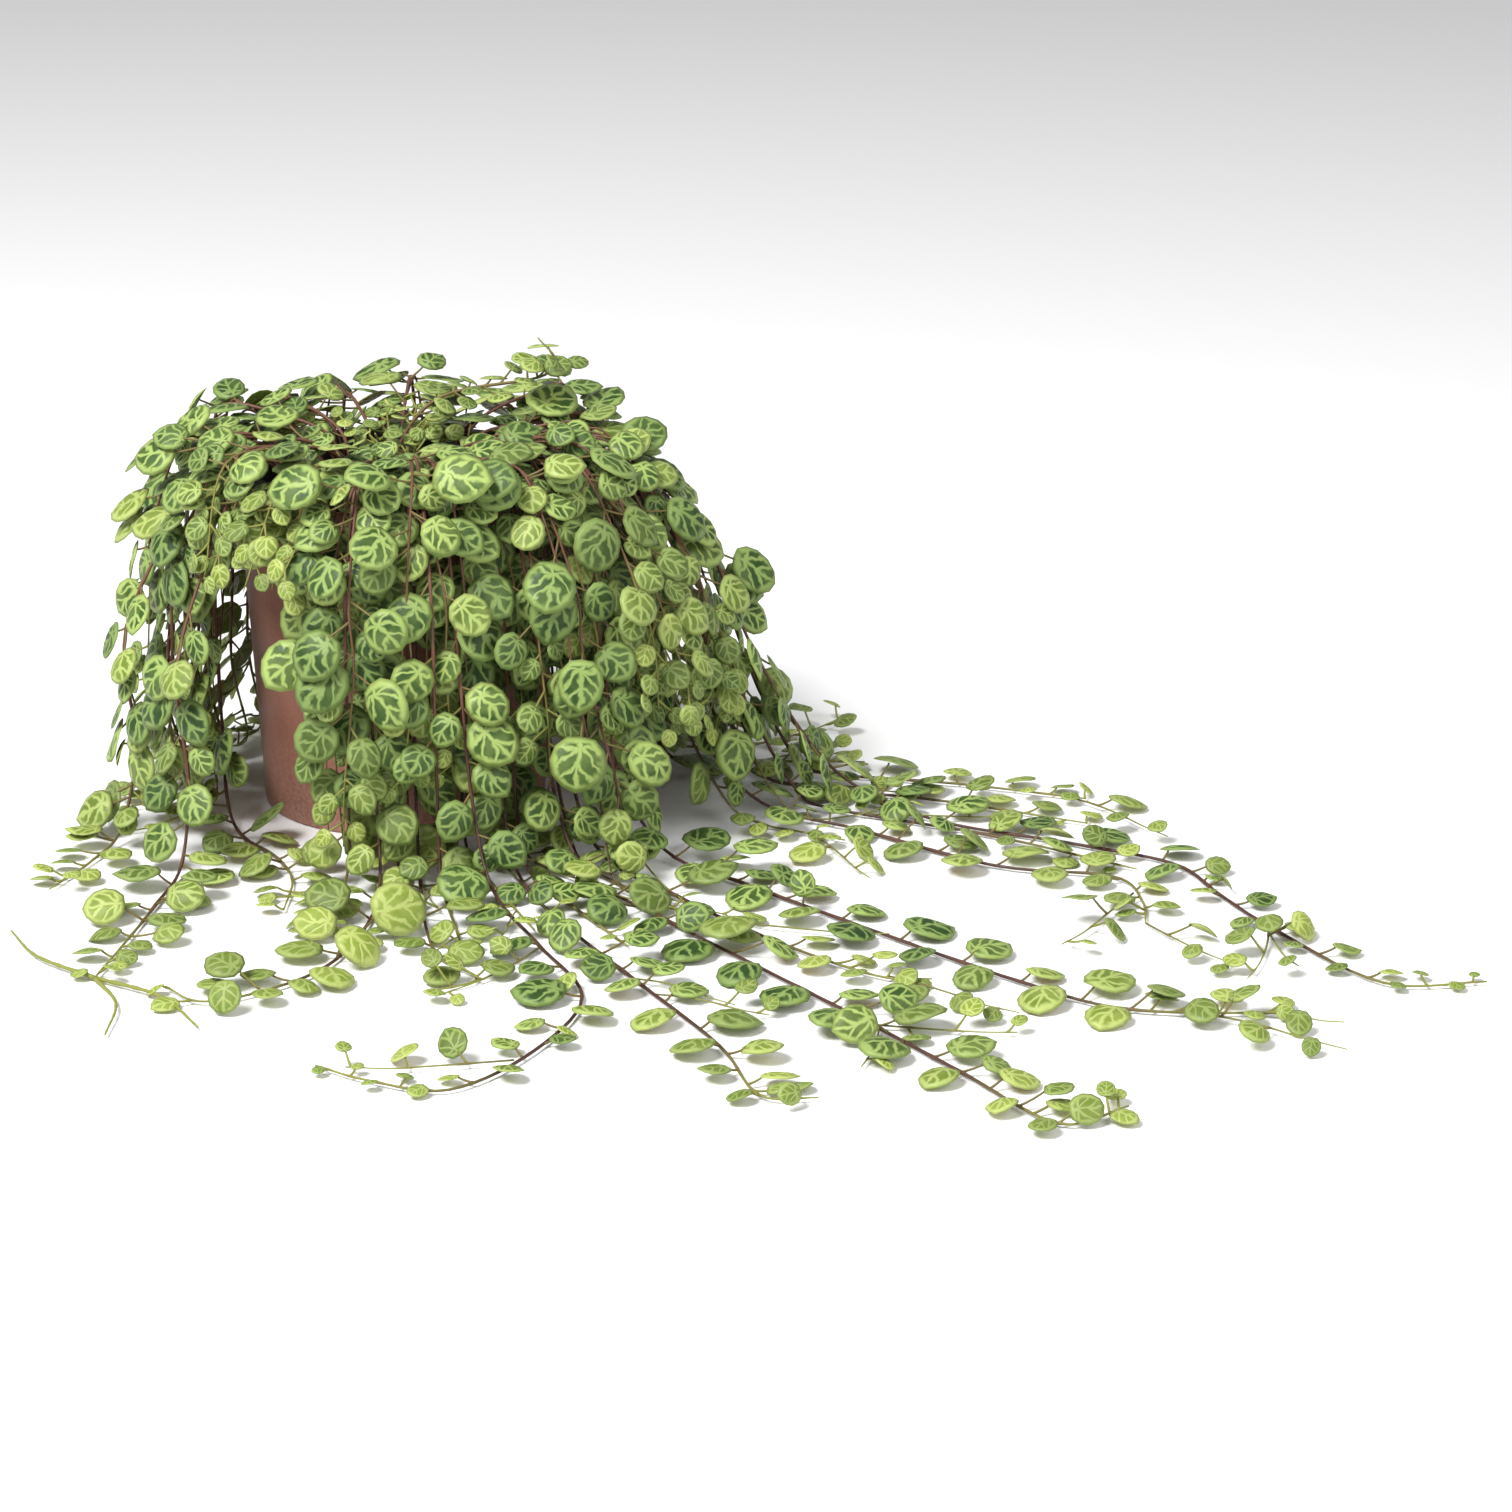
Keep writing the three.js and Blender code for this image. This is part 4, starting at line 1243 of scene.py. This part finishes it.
def new_material(name: str) -> tuple[bpy.types.Material, Nodes, bpy.types.Node]:
    """A material with its node helper and its Principled shader."""
    material = bpy.data.materials.new(name)
    material.use_nodes = True
    shader = material.node_tree.nodes["Principled BSDF"]
    return material, Nodes(material.node_tree), shader


def bump(nodes: Nodes, shader: bpy.types.Node, height: Socket, strength: float, distance: float) -> None:
    """Feed a height to the shader's normal."""
    node = nodes.add("ShaderNodeBump")
    node.inputs["Strength"].default_value = strength
    node.inputs["Distance"].default_value = distance
    nodes.join(height, node.inputs["Height"])
    nodes.join(node.outputs["Normal"], shader.inputs["Normal"])


Tint = tuple[float, float, float, float]


@dataclass(frozen=True)
class LeafFinish:
    """Waxy leaves: dark patches between pale veins, greener-yellow when young."""

    patch: Tint = (0.022, 0.060, 0.008, 1)
    patch_young: Tint = (0.155, 0.225, 0.026, 1)
    vein: Tint = (0.245, 0.345, 0.095, 1)
    vein_young: Tint = (0.37, 0.44, 0.14, 1)
    under: Tint = (0.135, 0.175, 0.030, 1)
    under_young: Tint = (0.34, 0.39, 0.10, 1)
    flush: Tint = (0.30, 0.19, 0.07, 1)
    roughness: float = 0.42

    def make(self, veins: bpy.types.NodeTree, mottle: bpy.types.NodeTree) -> bpy.types.Material:
        """Build the material: leaf data holds youth, tone and underside in its three colours."""
        material, n, shader = new_material("leaf")
        place = n.object_place()
        uv = n.add("ShaderNodeUVMap", uv_map="Leaf")
        centred = n.add("ShaderNodeVectorMath", operation="MULTIPLY_ADD")
        n.join(uv.outputs[0], centred.inputs[0])
        centred.inputs[1].default_value = (2, 2, 0)
        centred.inputs[2].default_value = (-1, -1, 0)
        net = n.group(veins, leaf_place=centred.outputs[0], grain_place=place, width=0.082)
        cloud = n.group(mottle, place=place, broad=150.0, fine=1400.0)
        data = n.add("ShaderNodeAttribute", attribute_name="leaf_data")
        split = n.add("ShaderNodeSeparateColor")
        n.join(data.outputs["Color"], split.inputs[0])
        youth, tone, underside = split.outputs
        patch = n.mix(youth, self.patch, self.patch_young)
        vein = n.mix(youth, self.vein, self.vein_young)
        strength = n.math("MULTIPLY", net.outputs["Veins"],
                          n.math("SUBTRACT", 1.0, n.math("MULTIPLY", youth, 0.25)))
        face = n.mix(strength, patch, vein)
        face = n.mix(n.math("MULTIPLY", cloud.outputs["Mottle"], 0.22), face, vein)
        under = n.mix(youth, self.under, self.under_young)
        under = n.mix(n.math("MULTIPLY", n.step(tone, 0.72, 1.0), 0.5), under, self.flush)
        under = n.mix(n.math("MULTIPLY", net.outputs["Middle"], 0.35), under, self.vein_young)
        colour = n.mix(underside, face, under)
        light = n.add("ShaderNodeHueSaturation")
        n.join(n.step(tone, 0.0, 1.0, 0.505, 0.488), light.inputs["Hue"])
        n.join(n.step(tone, 0.0, 1.0, 0.72, 1.2), light.inputs["Value"])
        n.join(colour, light.inputs["Color"])
        n.join(light.outputs[0], shader.inputs["Base Color"])
        rough = n.math("ADD", self.roughness, n.math("MULTIPLY", cloud.outputs["Grain"], 0.14))
        n.join(rough, shader.inputs["Roughness"])
        shader.inputs["Specular IOR Level"].default_value = 0.28
        shader.inputs["Subsurface Weight"].default_value = 0.12
        shader.inputs["Subsurface Radius"].default_value = (0.4, 1.0, 0.15)
        shader.inputs["Subsurface Scale"].default_value = 0.0012
        raised = n.math("SUBTRACT", n.math("MULTIPLY", cloud.outputs["Grain"], 0.12), net.outputs["Veins"])
        bump(n, shader, raised, 0.55, 0.00025)
        return material


@dataclass(frozen=True)
class StemFinish:
    """Stems: maroon-brown when old, pinkish over the pot, green at the growing tips."""

    old: Tint = (0.055, 0.021, 0.013, 1)
    pink: Tint = (0.15, 0.062, 0.032, 1)
    green: Tint = (0.22, 0.24, 0.04, 1)
    roughness: float = 0.5

    def make(self, mottle: bpy.types.NodeTree) -> bpy.types.Material:
        """Build the material: stem data holds youth, pinkness and a ring at each joint."""
        material, n, shader = new_material("stem")
        place = n.object_place()
        cloud = n.group(mottle, place=place, broad=120.0, fine=900.0)
        data = n.add("ShaderNodeAttribute", attribute_name="stem_data")
        split = n.add("ShaderNodeSeparateColor")
        n.join(data.outputs["Color"], split.inputs[0])
        youth, pink, joint = split.outputs
        colour = n.mix(pink, self.old, self.pink)
        colour = n.mix(n.math("MULTIPLY", cloud.outputs["Mottle"], 0.3), colour, self.old)
        colour = n.mix(youth, colour, self.green)
        colour = n.mix(n.math("MULTIPLY", joint, 0.45), colour, self.pink)
        n.join(colour, shader.inputs["Base Color"])
        n.join(n.math("ADD", self.roughness, n.math("MULTIPLY", cloud.outputs["Grain"], 0.2)),
               shader.inputs["Roughness"])
        bump(n, shader, cloud.outputs["Grain"], 0.35, 0.0001)
        return material


@dataclass(frozen=True)
class PotFinish:
    """Smooth terracotta-coloured ware with faint throwing lines and dusty patches."""

    body: Tint = (0.30, 0.122, 0.082, 1)
    deep: Tint = (0.20, 0.070, 0.046, 1)
    dust: Tint = (0.42, 0.26, 0.20, 1)
    roughness: float = 0.5

    def make(self, mottle: bpy.types.NodeTree) -> bpy.types.Material:
        """Build the material."""
        material, n, shader = new_material("terracotta")
        place = n.object_place()
        cloud = n.group(mottle, place=place, broad=28.0, fine=900.0)
        parts = n.add("ShaderNodeSeparateXYZ")
        n.join(place, parts.inputs[0])
        stretched = n.add("ShaderNodeCombineXYZ")
        n.join(n.math("MULTIPLY", parts.outputs[0], 4.0), stretched.inputs[0])
        n.join(n.math("MULTIPLY", parts.outputs[1], 4.0), stretched.inputs[1])
        n.join(n.math("MULTIPLY", parts.outputs[2], 380.0), stretched.inputs[2])
        lines = n.noise(stretched.outputs[0], 1.0, 2.0)
        colour = n.mix(n.math("MULTIPLY", cloud.outputs["Mottle"], 0.55), self.body, self.deep)
        low = n.step(parts.outputs[2], 0.03, 0.0)
        dusty = n.math("MULTIPLY", n.math("ADD", low, 0.25), cloud.outputs["Grain"])
        colour = n.mix(n.math("MULTIPLY", dusty, 0.45), colour, self.dust)
        n.join(colour, shader.inputs["Base Color"])
        n.join(n.math("ADD", self.roughness, n.math("MULTIPLY", cloud.outputs["Mottle"], 0.18)),
               shader.inputs["Roughness"])
        grain = n.math("MULTIPLY", cloud.outputs["Grain"], 0.3)
        height = n.math("ADD", n.math("MULTIPLY", lines, 0.7), grain)
        bump(n, shader, height, 0.25, 0.0003)
        return material


@dataclass(frozen=True)
class PlasticFinish:
    """Thin black moulded plastic, dusted with soil."""

    body: Tint = (0.012, 0.010, 0.012, 1)
    worn: Tint = (0.045, 0.036, 0.034, 1)
    roughness: float = 0.38

    def make(self, mottle: bpy.types.NodeTree) -> bpy.types.Material:
        """Build the material."""
        material, n, shader = new_material("black plastic")
        cloud = n.group(mottle, place=n.object_place(), broad=90.0, fine=1200.0)
        n.join(n.mix(n.math("MULTIPLY", cloud.outputs["Mottle"], 0.6), self.body, self.worn),
               shader.inputs["Base Color"])
        n.join(n.math("ADD", self.roughness, n.math("MULTIPLY", cloud.outputs["Grain"], 0.25)),
               shader.inputs["Roughness"])
        bump(n, shader, cloud.outputs["Grain"], 0.3, 0.0001)
        return material


@dataclass(frozen=True)
class SoilFinish:
    """Potting soil: dark peat with bark crumbs and pale grit."""

    peat: Tint = (0.018, 0.011, 0.008, 1)
    bark: Tint = (0.085, 0.045, 0.022, 1)
    grit: Tint = (0.42, 0.38, 0.32, 1)

    def make(self, mottle: bpy.types.NodeTree) -> bpy.types.Material:
        """Build the material."""
        material, n, shader = new_material("soil")
        place = n.object_place()
        cloud = n.group(mottle, place=place, broad=260.0, fine=1300.0)
        cells = n.add("ShaderNodeTexVoronoi")
        n.join(place, cells.inputs["Vector"])
        cells.inputs["Scale"].default_value = 420.0
        tell = n.add("ShaderNodeSeparateColor")
        n.join(cells.outputs["Color"], tell.inputs[0])
        colour = n.mix(cloud.outputs["Mottle"], self.peat, self.bark)
        colour = n.mix(n.step(tell.outputs[0], 0.90, 0.94), colour, self.grit)
        n.join(colour, shader.inputs["Base Color"])
        shader.inputs["Roughness"].default_value = 0.95
        bump(n, shader, n.math("ADD", cells.outputs["Distance"], cloud.outputs["Grain"]), 0.9, 0.0012)
        return material


# ---- Sub-assemblies -------------------------------------------------------------------------------

@dataclass
class CoverPot:
    """The terracotta-coloured pot with its collar."""

    sizes: PotSizes = POT
    edge: float = 1.1

    def build(self) -> bpy.types.Object:
        """Turn its wall and floor."""
        s = self.sizes
        inner = s.collar - s.wall
        outline = rounded([
            (0, 0, 0), (s.foot, 0, self.edge), (s.shoulder, s.shoulder_z - 0.6, 0.5),
            (s.collar, s.shoulder_z + 0.2, self.edge), (s.collar, s.height, self.edge),
            (inner, s.height, self.edge), (s.shoulder - s.wall, s.shoulder_z, 1.5),
            (s.foot - s.wall, s.floor, 1.5), (0, s.floor, 0)])
        return turned("cover_pot_wall", outline)

    def dress(self, piece: bpy.types.Object, material: bpy.types.Material) -> None:
        """Finish it in terracotta."""
        finish_piece(piece, material, "terracotta", "cover_pot")


@dataclass
class NurseryPot:
    """The thin black pot that the plant grows in."""

    node: str = "nursery_pot"

    def dress(self, material: bpy.types.Material) -> None:
        """Give the CAD solid its plastic: its drain holes and flare are already right."""
        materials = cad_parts[self.node].data.materials
        materials.clear()
        materials.append(material)


@dataclass
class PottingSoil:
    """The root ball, with a crumbly top."""

    sizes: PotSizes = POT
    crumb: float = 0.9

    def build(self) -> bpy.types.Object:
        """Turn the root ball, with many rings on top that the crumbs lift and lower."""
        s = self.sizes
        bottom = s.nursery_base + s.nursery_wall + s.gap
        rim = s.bore(s.soil_top) - s.gap - 0.2
        radii = np.linspace(rim, 0, 26)
        top = np.stack([radii, [s.soil_at(r) for r in radii]], axis=-1)
        side = np.array([[0, bottom], [s.bore(bottom) - s.gap - 0.2, bottom]])
        return turned("potting_soil_ball", np.vstack([side, top]), 96, self.crumble)

    def crumble(self, vertices: Array) -> Array:
        """Lower the top by a sum of sines of the place at four scales, less near the wall."""
        s = self.sizes
        x, y, z = vertices.T
        rough = np.zeros(len(x))
        for scale, share in ((0.35, 0.4), (0.9, 0.3), (1.9, 0.2), (3.7, 0.1)):
            rough += share * np.sin(x * scale + 3 * scale) * np.sin(y * scale * 1.13 + 7 * scale)
        rim = s.bore(s.soil_top)
        top = ease(s.soil_top - 1, s.soil_top, z) * ease(rim, rim - 3, np.hypot(x, y))
        vertices[:, 2] = z - top * self.crumb * (1 + rough)
        return vertices

    def dress(self, piece: bpy.types.Object, material: bpy.types.Material) -> None:
        """Finish it as soil."""
        finish_piece(piece, material, "soil", "potting_soil")


@dataclass
class Blades:
    """All the leaf blades of one vine: thick little domes with a rounded edge."""

    segments: int = 12
    rings: tuple[float, ...] = (0.45, 0.8, 1.0)
    under_rings: tuple[float, ...] = (0.82,)
    thickness: float = 0.13

    def shape(self) -> tuple[Array, Array, Array, list[Array]]:
        """The plain blade: (share of radius, angle) of each vertex, whether it is under, and faces."""
        angle = np.arange(self.segments) / self.segments * 2 * math.pi
        share = np.concatenate([[0.0], np.repeat(self.rings, self.segments),
                                np.repeat(self.under_rings, self.segments), [0.0]])
        turns = np.concatenate([[0.0], np.tile(angle, len(self.rings) + len(self.under_rings)), [0.0]])
        under = np.zeros(len(share), bool)
        under[1 + len(self.rings) * self.segments:] = True
        step = np.arange(self.segments)
        after = (step + 1) % self.segments
        total = len(self.rings) + len(self.under_rings)
        rows = [1 + k * self.segments for k in range(total)]
        quads = [np.stack([a + step, b + step, b + after, a + after], axis=-1)
                 for a, b in zip(rows[:-1], rows[1:])]
        fan = np.stack([np.zeros(self.segments, int), rows[0] + step, rows[0] + after], axis=-1)
        last = np.full(self.segments, len(share) - 1)
        under_fan = np.stack([last, rows[-1] + after, rows[-1] + step], axis=-1)
        return share, turns, under, [np.vstack(quads), fan, under_fan]

    def build(self, vine: Vine, seed: int) -> bpy.types.Object:
        """Make the blades of a vine.

        A blade's outline is a circle, longer towards the tip by a narrow bump and pulled in at the
        stalk. Its height is a dome, one less the share of the radius squared, with a fold along the
        midrib, a bend along its length and a wave round its edge. The underside is the same dome,
        lower by the thickness, which fades towards the edge.

        Args:
            vine: The vine.
            seed: Seed of the differences between its leaves.

        Returns:
            The piece.
        """
        share, turns, under, groups = self.shape()
        leaves = vine.leaves
        count = len(leaves)
        rng = np.random.default_rng(seed)

        def one(low: float, high: float) -> Array:
            """One random number for each leaf."""
            return rng.uniform(low, high, (count, 1))

        narrow, tip, dome = one(0.86, 1.0), one(0.0, 0.14), one(0.12, 0.24)
        fold, bend, wave, phase = one(0.0, 0.06), one(-0.10, 0.10), one(0.0, 0.05), one(0, 6.28)
        tone = one(0, 1)
        radius = np.array([leaf.radius for leaf in leaves])[:, None]
        away = np.abs((turns + math.pi) % (2 * math.pi) - math.pi)
        reach = 0.97 + tip * np.exp(-(away / 0.32) ** 2) - 0.07 * np.exp(-((away - math.pi) / 0.3) ** 2)
        along = share * np.cos(turns) * reach
        across = share * np.sin(turns) * reach * narrow
        height = dome * (1 - share ** 2) - fold * np.exp(-(across / 0.12) ** 2) * (1 - share)
        height = height + bend * along ** 2 + wave * share ** 2 * np.sin(3 * turns + phase)
        height = height - under * self.thickness * (1 - 0.75 * share ** 4)
        height = height - np.where(share == 1, 0.03, 0)
        axes = {key: np.array([getattr(leaf, key) for leaf in leaves]) for key in
                ("centre", "axis", "cross", "normal")}
        place = (axes["centre"][:, None] + axes["axis"][:, None] * (along * radius)[..., None]
                 + axes["cross"][:, None] * (across * radius)[..., None]
                 + axes["normal"][:, None] * (height * radius)[..., None])
        inside = ROOM + np.array([[0.15], [-0.15]])
        place += np.maximum(0, inside[0] - place.min(axis=1))[:, None]
        place -= np.maximum(0, place.max(axis=1) - inside[1])[:, None]
        size = len(share)
        offset = (np.arange(count) * size)[:, None, None]
        faces = [(group[None] + offset).reshape(-1, group.shape[1]) for group in groups]
        piece = new_piece(f"{vine.name}_leaves", place.reshape(-1, 3), faces)
        self.map_blades(piece, leaves, share, turns, under, groups, tone)
        return piece

    def map_blades(self, piece: bpy.types.Object, leaves: Sequence[Leaf], share: Array, turns: Array,
                   under: Array, groups: list[Array], tone: Array) -> None:
        """Give the blades their leaf coordinates, their own place on the bake map, and leaf data."""
        count = len(leaves)
        flat = np.stack([share * np.sin(turns), share * np.cos(turns)], axis=-1)
        columns = math.ceil(math.sqrt(2 * count))
        youth = np.array([leaf.youth for leaf in leaves])
        leaf_uv, bake_uv, data = [], [], []
        for group in groups:
            is_under = under[group].any(axis=1)
            corner = np.broadcast_to(flat[group][None], (count,) + flat[group].shape)
            leaf_uv.append((corner * 0.5 + 0.5).reshape(-1, 2))
            cell = (2 * np.arange(count)[:, None] + is_under[None])[..., None]
            cell = np.broadcast_to(cell, (count,) + group.shape)
            spot = np.stack([cell % columns, cell // columns], axis=-1)
            bake_uv.append(((spot + 0.5 + corner * 0.46) / columns).reshape(-1, 2))
            full = np.ones((count,) + group.shape)
            tell = [full * youth[:, None, None], full * tone[:, :, None],
                    full * is_under[None, :, None], full]
            data.append(np.stack(tell, axis=-1).reshape(-1, 4))
        add_uv(piece, "Leaf", np.vstack(leaf_uv))
        add_uv(piece, "OFBake", np.vstack(bake_uv))
        add_corner_colour(piece, "leaf_data", np.vstack(data))

    def dress(self, piece: bpy.types.Object, material: bpy.types.Material, node: str) -> None:
        """Finish them as leaves of their CAD node."""
        finish_piece(piece, material, "foliage", node)


@dataclass
class Stems:
    """One vine's stem with its leaf stalks and flower spikes."""

    sides: int = 8
    per_span: int = 7
    stalk_sides: int = 5
    stalk_radius: float = 0.34
    tip_length: float = 70.0
    thickness: float = 0.47

    def build(self, vine: Vine) -> bpy.types.Object:
        """Make the stems: tubes that swell at each joint and thin to their tips, and their stalks.

        Args:
            vine: The vine.

        Returns:
            The piece.
        """
        parts: list[tuple[Array, Array, Array]] = []
        tells: list[Array] = []
        start = 0
        for run, share in ((vine.stem, 1.0), *((shoot, 0.75) for shoot in vine.shoots)):
            for part, rows, sides in self.stem_parts(run, share):
                parts.append((part[0], part[1] + start, part[2] + start))
                tells.append(self.tell(rows, sides))
                start += len(part[0])
        for spike in vine.spikes:
            curve = smoothed(spike, 10)
            bumpy = 1 + 0.18 * np.sin(np.arange(len(curve)) * 2.4)
            part = tube(curve, np.linspace(0.62, 0.3, len(curve)) * bumpy, 6, start)
            tells.append(self.tell(np.tile(np.array([1.0, 0.0, 0.0]), (len(curve), 1)), 6))
            parts.append(part)
            start += len(part[0])
        vertices = np.vstack([part[0] for part in parts])
        faces = [np.vstack([part[1] for part in parts]), np.vstack([part[2] for part in parts])]
        piece = new_piece(f"{vine.name}_stem", vertices, faces)
        table = np.vstack(tells)
        corners = np.concatenate([group.reshape(-1) for group in faces])
        add_corner_colour(piece, "stem_data", np.hstack([table[corners], np.ones((len(corners), 1))]))
        return piece

    def stem_parts(self, run: Run, share: float) -> list[tuple[tuple[Array, Array, Array], Array, int]]:
        """The tubes of one stem and its leaf stalks.

        Args:
            run: The stem.
            share: Its thickness, as a share of a main stem's.

        Returns:
            For each tube its mesh, the numbers that tint its stations, and its sides.
        """
        path = smoothed(run.points, self.per_span)
        path[:, 2] = np.maximum(path[:, 2], GROWTH.stem + 0.1)
        gone = np.concatenate([[0], np.cumsum(np.linalg.norm(np.diff(path, axis=0), axis=1))])
        left = gone[-1] - gone
        feet = np.array([leaf.foot for leaf in run.leaves]).reshape(-1, 3)
        apart = np.linalg.norm(path[None] - feet[:, None], axis=-1)
        joint = np.exp(-(apart / 1.6) ** 2).max(axis=0, initial=0.0)
        slim = np.clip(left / self.tip_length, 0, 1) ** 0.6
        radii = self.thickness * share * (0.45 + 0.55 * slim) * (1 + 0.35 * joint)
        youth = 1 - ease(0, self.tip_length, left)
        pink = ease(18, 60, path[:, 2]) * 0.85
        tubes = [(tube(path, radii, self.sides), np.stack([youth, pink, joint], axis=-1), self.sides)]
        for leaf, row in zip(run.leaves, apart):
            station = int(row.argmin())
            tint = np.array([max(youth[station], 0.35), 0.6, 0.0])
            tubes.append((self.stalk(leaf, path[station]), np.tile(tint, (5, 1)), self.stalk_sides))
        return tubes

    def stalk(self, leaf: Leaf, root: Array) -> tuple[Array, Array, Array]:
        """A leaf's stalk: a quadratic curve from the stem to the underside of the blade."""
        end = leaf.on(-0.66, 0.0, 0.0)
        bow = (root + end) / 2 - leaf.normal * 0.6
        t = np.linspace(0, 1, 5)[:, None]
        curve = (1 - t) ** 2 * root + 2 * t * (1 - t) * bow + t ** 2 * end
        curve[:, 2] = np.maximum(curve[:, 2], 0.7)
        radii = self.stalk_radius * np.linspace(1.15, 0.85, 5)
        return tube(curve, radii, self.stalk_sides)

    @staticmethod
    def tell(rows: Array, sides: int) -> Array:
        """The numbers of each vertex of a tube, from those of its stations."""
        return np.vstack([np.repeat(rows, sides, axis=0), rows[:1], rows[-1:]])

    def dress(self, piece: bpy.types.Object, material: bpy.types.Material, node: str) -> None:
        """Finish it as the stem of its CAD node."""
        finish_piece(piece, material, "foliage", node)


@dataclass
class Studio:
    """A pale floor, soft light and the camera."""

    distance: float = 1.30
    elevation: float = 18.0
    focal: float = 102.15
    aim_right: float = 0.106
    aim_up: float = 0.0109
    sky: float = 0.38

    def floor(self) -> None:
        """A wide pale floor."""
        size = 6.0
        mesh = bpy.data.meshes.new("floor")
        corners = [(-size, -size, 0), (size, -size, 0), (size, size, 0), (-size, size, 0)]
        mesh.from_pydata(corners, [], [(0, 1, 2, 3)])
        floor = bpy.data.objects.new("floor", mesh)
        bpy.context.scene.collection.objects.link(floor)
        material, _, shader = new_material("floor")
        shader.inputs["Base Color"].default_value = (0.93, 0.93, 0.93, 1)
        shader.inputs["Roughness"].default_value = 0.9
        mesh.materials.append(material)

    def lights(self) -> None:
        """A white sky, a large soft light from the upper left front and a weaker one from the right."""
        world = bpy.data.worlds.new("studio")
        world.use_nodes = True
        background = world.node_tree.nodes["Background"]
        background.inputs["Color"].default_value = (1, 1, 1, 1)
        tree = Nodes(world.node_tree)
        seen = tree.add("ShaderNodeLightPath").outputs["Is Camera Ray"]
        strength = tree.math("ADD", self.sky, tree.math("MULTIPLY", seen, 1.0 - self.sky))
        tree.join(strength, background.inputs["Strength"])
        bpy.context.scene.world = world
        for name, place, size, power in (("key", (-0.8, -0.9, 1.6), 0.8, 56.0),
                                         ("fill", (1.2, -1.0, 1.0), 1.2, 12.0)):
            light = bpy.data.lights.new(name, "AREA")
            light.size = size
            light.energy = power
            lamp = bpy.data.objects.new(name, light)
            lamp.location = place
            aim = Vector((0.05, -0.05, 0.05)) - Vector(place)
            lamp.rotation_euler = aim.to_track_quat("-Z", "Y").to_euler()
            bpy.context.scene.collection.objects.link(lamp)
        bpy.context.scene.view_settings.view_transform = "Standard"

    def camera(self) -> None:
        """The camera, in front of the pot and a little above it."""
        data = bpy.data.cameras.new("camera")
        data.lens = self.focal
        data.sensor_width = 36
        camera = bpy.data.objects.new("camera", data)
        tilt = math.radians(self.elevation)
        back = Vector((0, -math.cos(tilt), math.sin(tilt)))
        up = Vector((0, math.sin(tilt), math.cos(tilt)))
        camera.location = Vector((self.aim_right, 0, 0)) + back * self.distance + up * self.aim_up
        camera.rotation_euler = (math.radians(90 - self.elevation), 0, 0)
        bpy.context.scene.collection.objects.link(camera)
        bpy.context.scene.camera = camera


def main() -> None:
    """Build the studio, the pots, the soil and every vine."""
    logging.basicConfig(level=logging.INFO, format="%(name)s: %(message)s")
    studio = Studio()
    studio.camera()
    studio.floor()
    studio.lights()
    mottle = mottle_group()
    cover = CoverPot()
    cover.dress(cover.build(), PotFinish().make(mottle))
    NurseryPot().dress(PlasticFinish().make(mottle))
    soil = PottingSoil()
    soil.dress(soil.build(), SoilFinish().make(mottle))
    LOG.info("pots and soil")
    vines = Planting().vines()
    thicket = Thicket(vines)
    for index, vine in enumerate(vines):
        thicket.grow(vine, index + 1)
    grown = thicket.count
    branching = Branching()
    for vine in vines:
        if vine.habit in (Habit.TRAILING, Habit.HANGING):
            branching.grow(vine, thicket)
    rng = np.random.default_rng(7)
    for vine in vines:
        window = vine.habit is Habit.HANGING and WINDOW[0] < vine.bearing < WINDOW[1]
        for run in (vine.stem, *vine.shoots):
            thicket.fill(vine, run, Filling(), rng, WINDOW_TOP * POT.height if window else -1.0)
    LOG.info("%d full-grown leaves, %d more", grown, thicket.count - grown)
    leaf_material = LeafFinish().make(leaf_veins_group(), mottle)
    stem_material = StemFinish().make(mottle)
    stems, blades = Stems(), Blades()
    for index, vine in enumerate(vines):
        stems.dress(stems.build(vine), stem_material, vine.name)
        if vine.leaves:
            blades.dress(blades.build(vine, 900 + index), leaf_material, vine.name)
        LOG.info("%s with %d leaves", vine.name, len(vine.leaves))


if __name__ == "__main__":
    main()
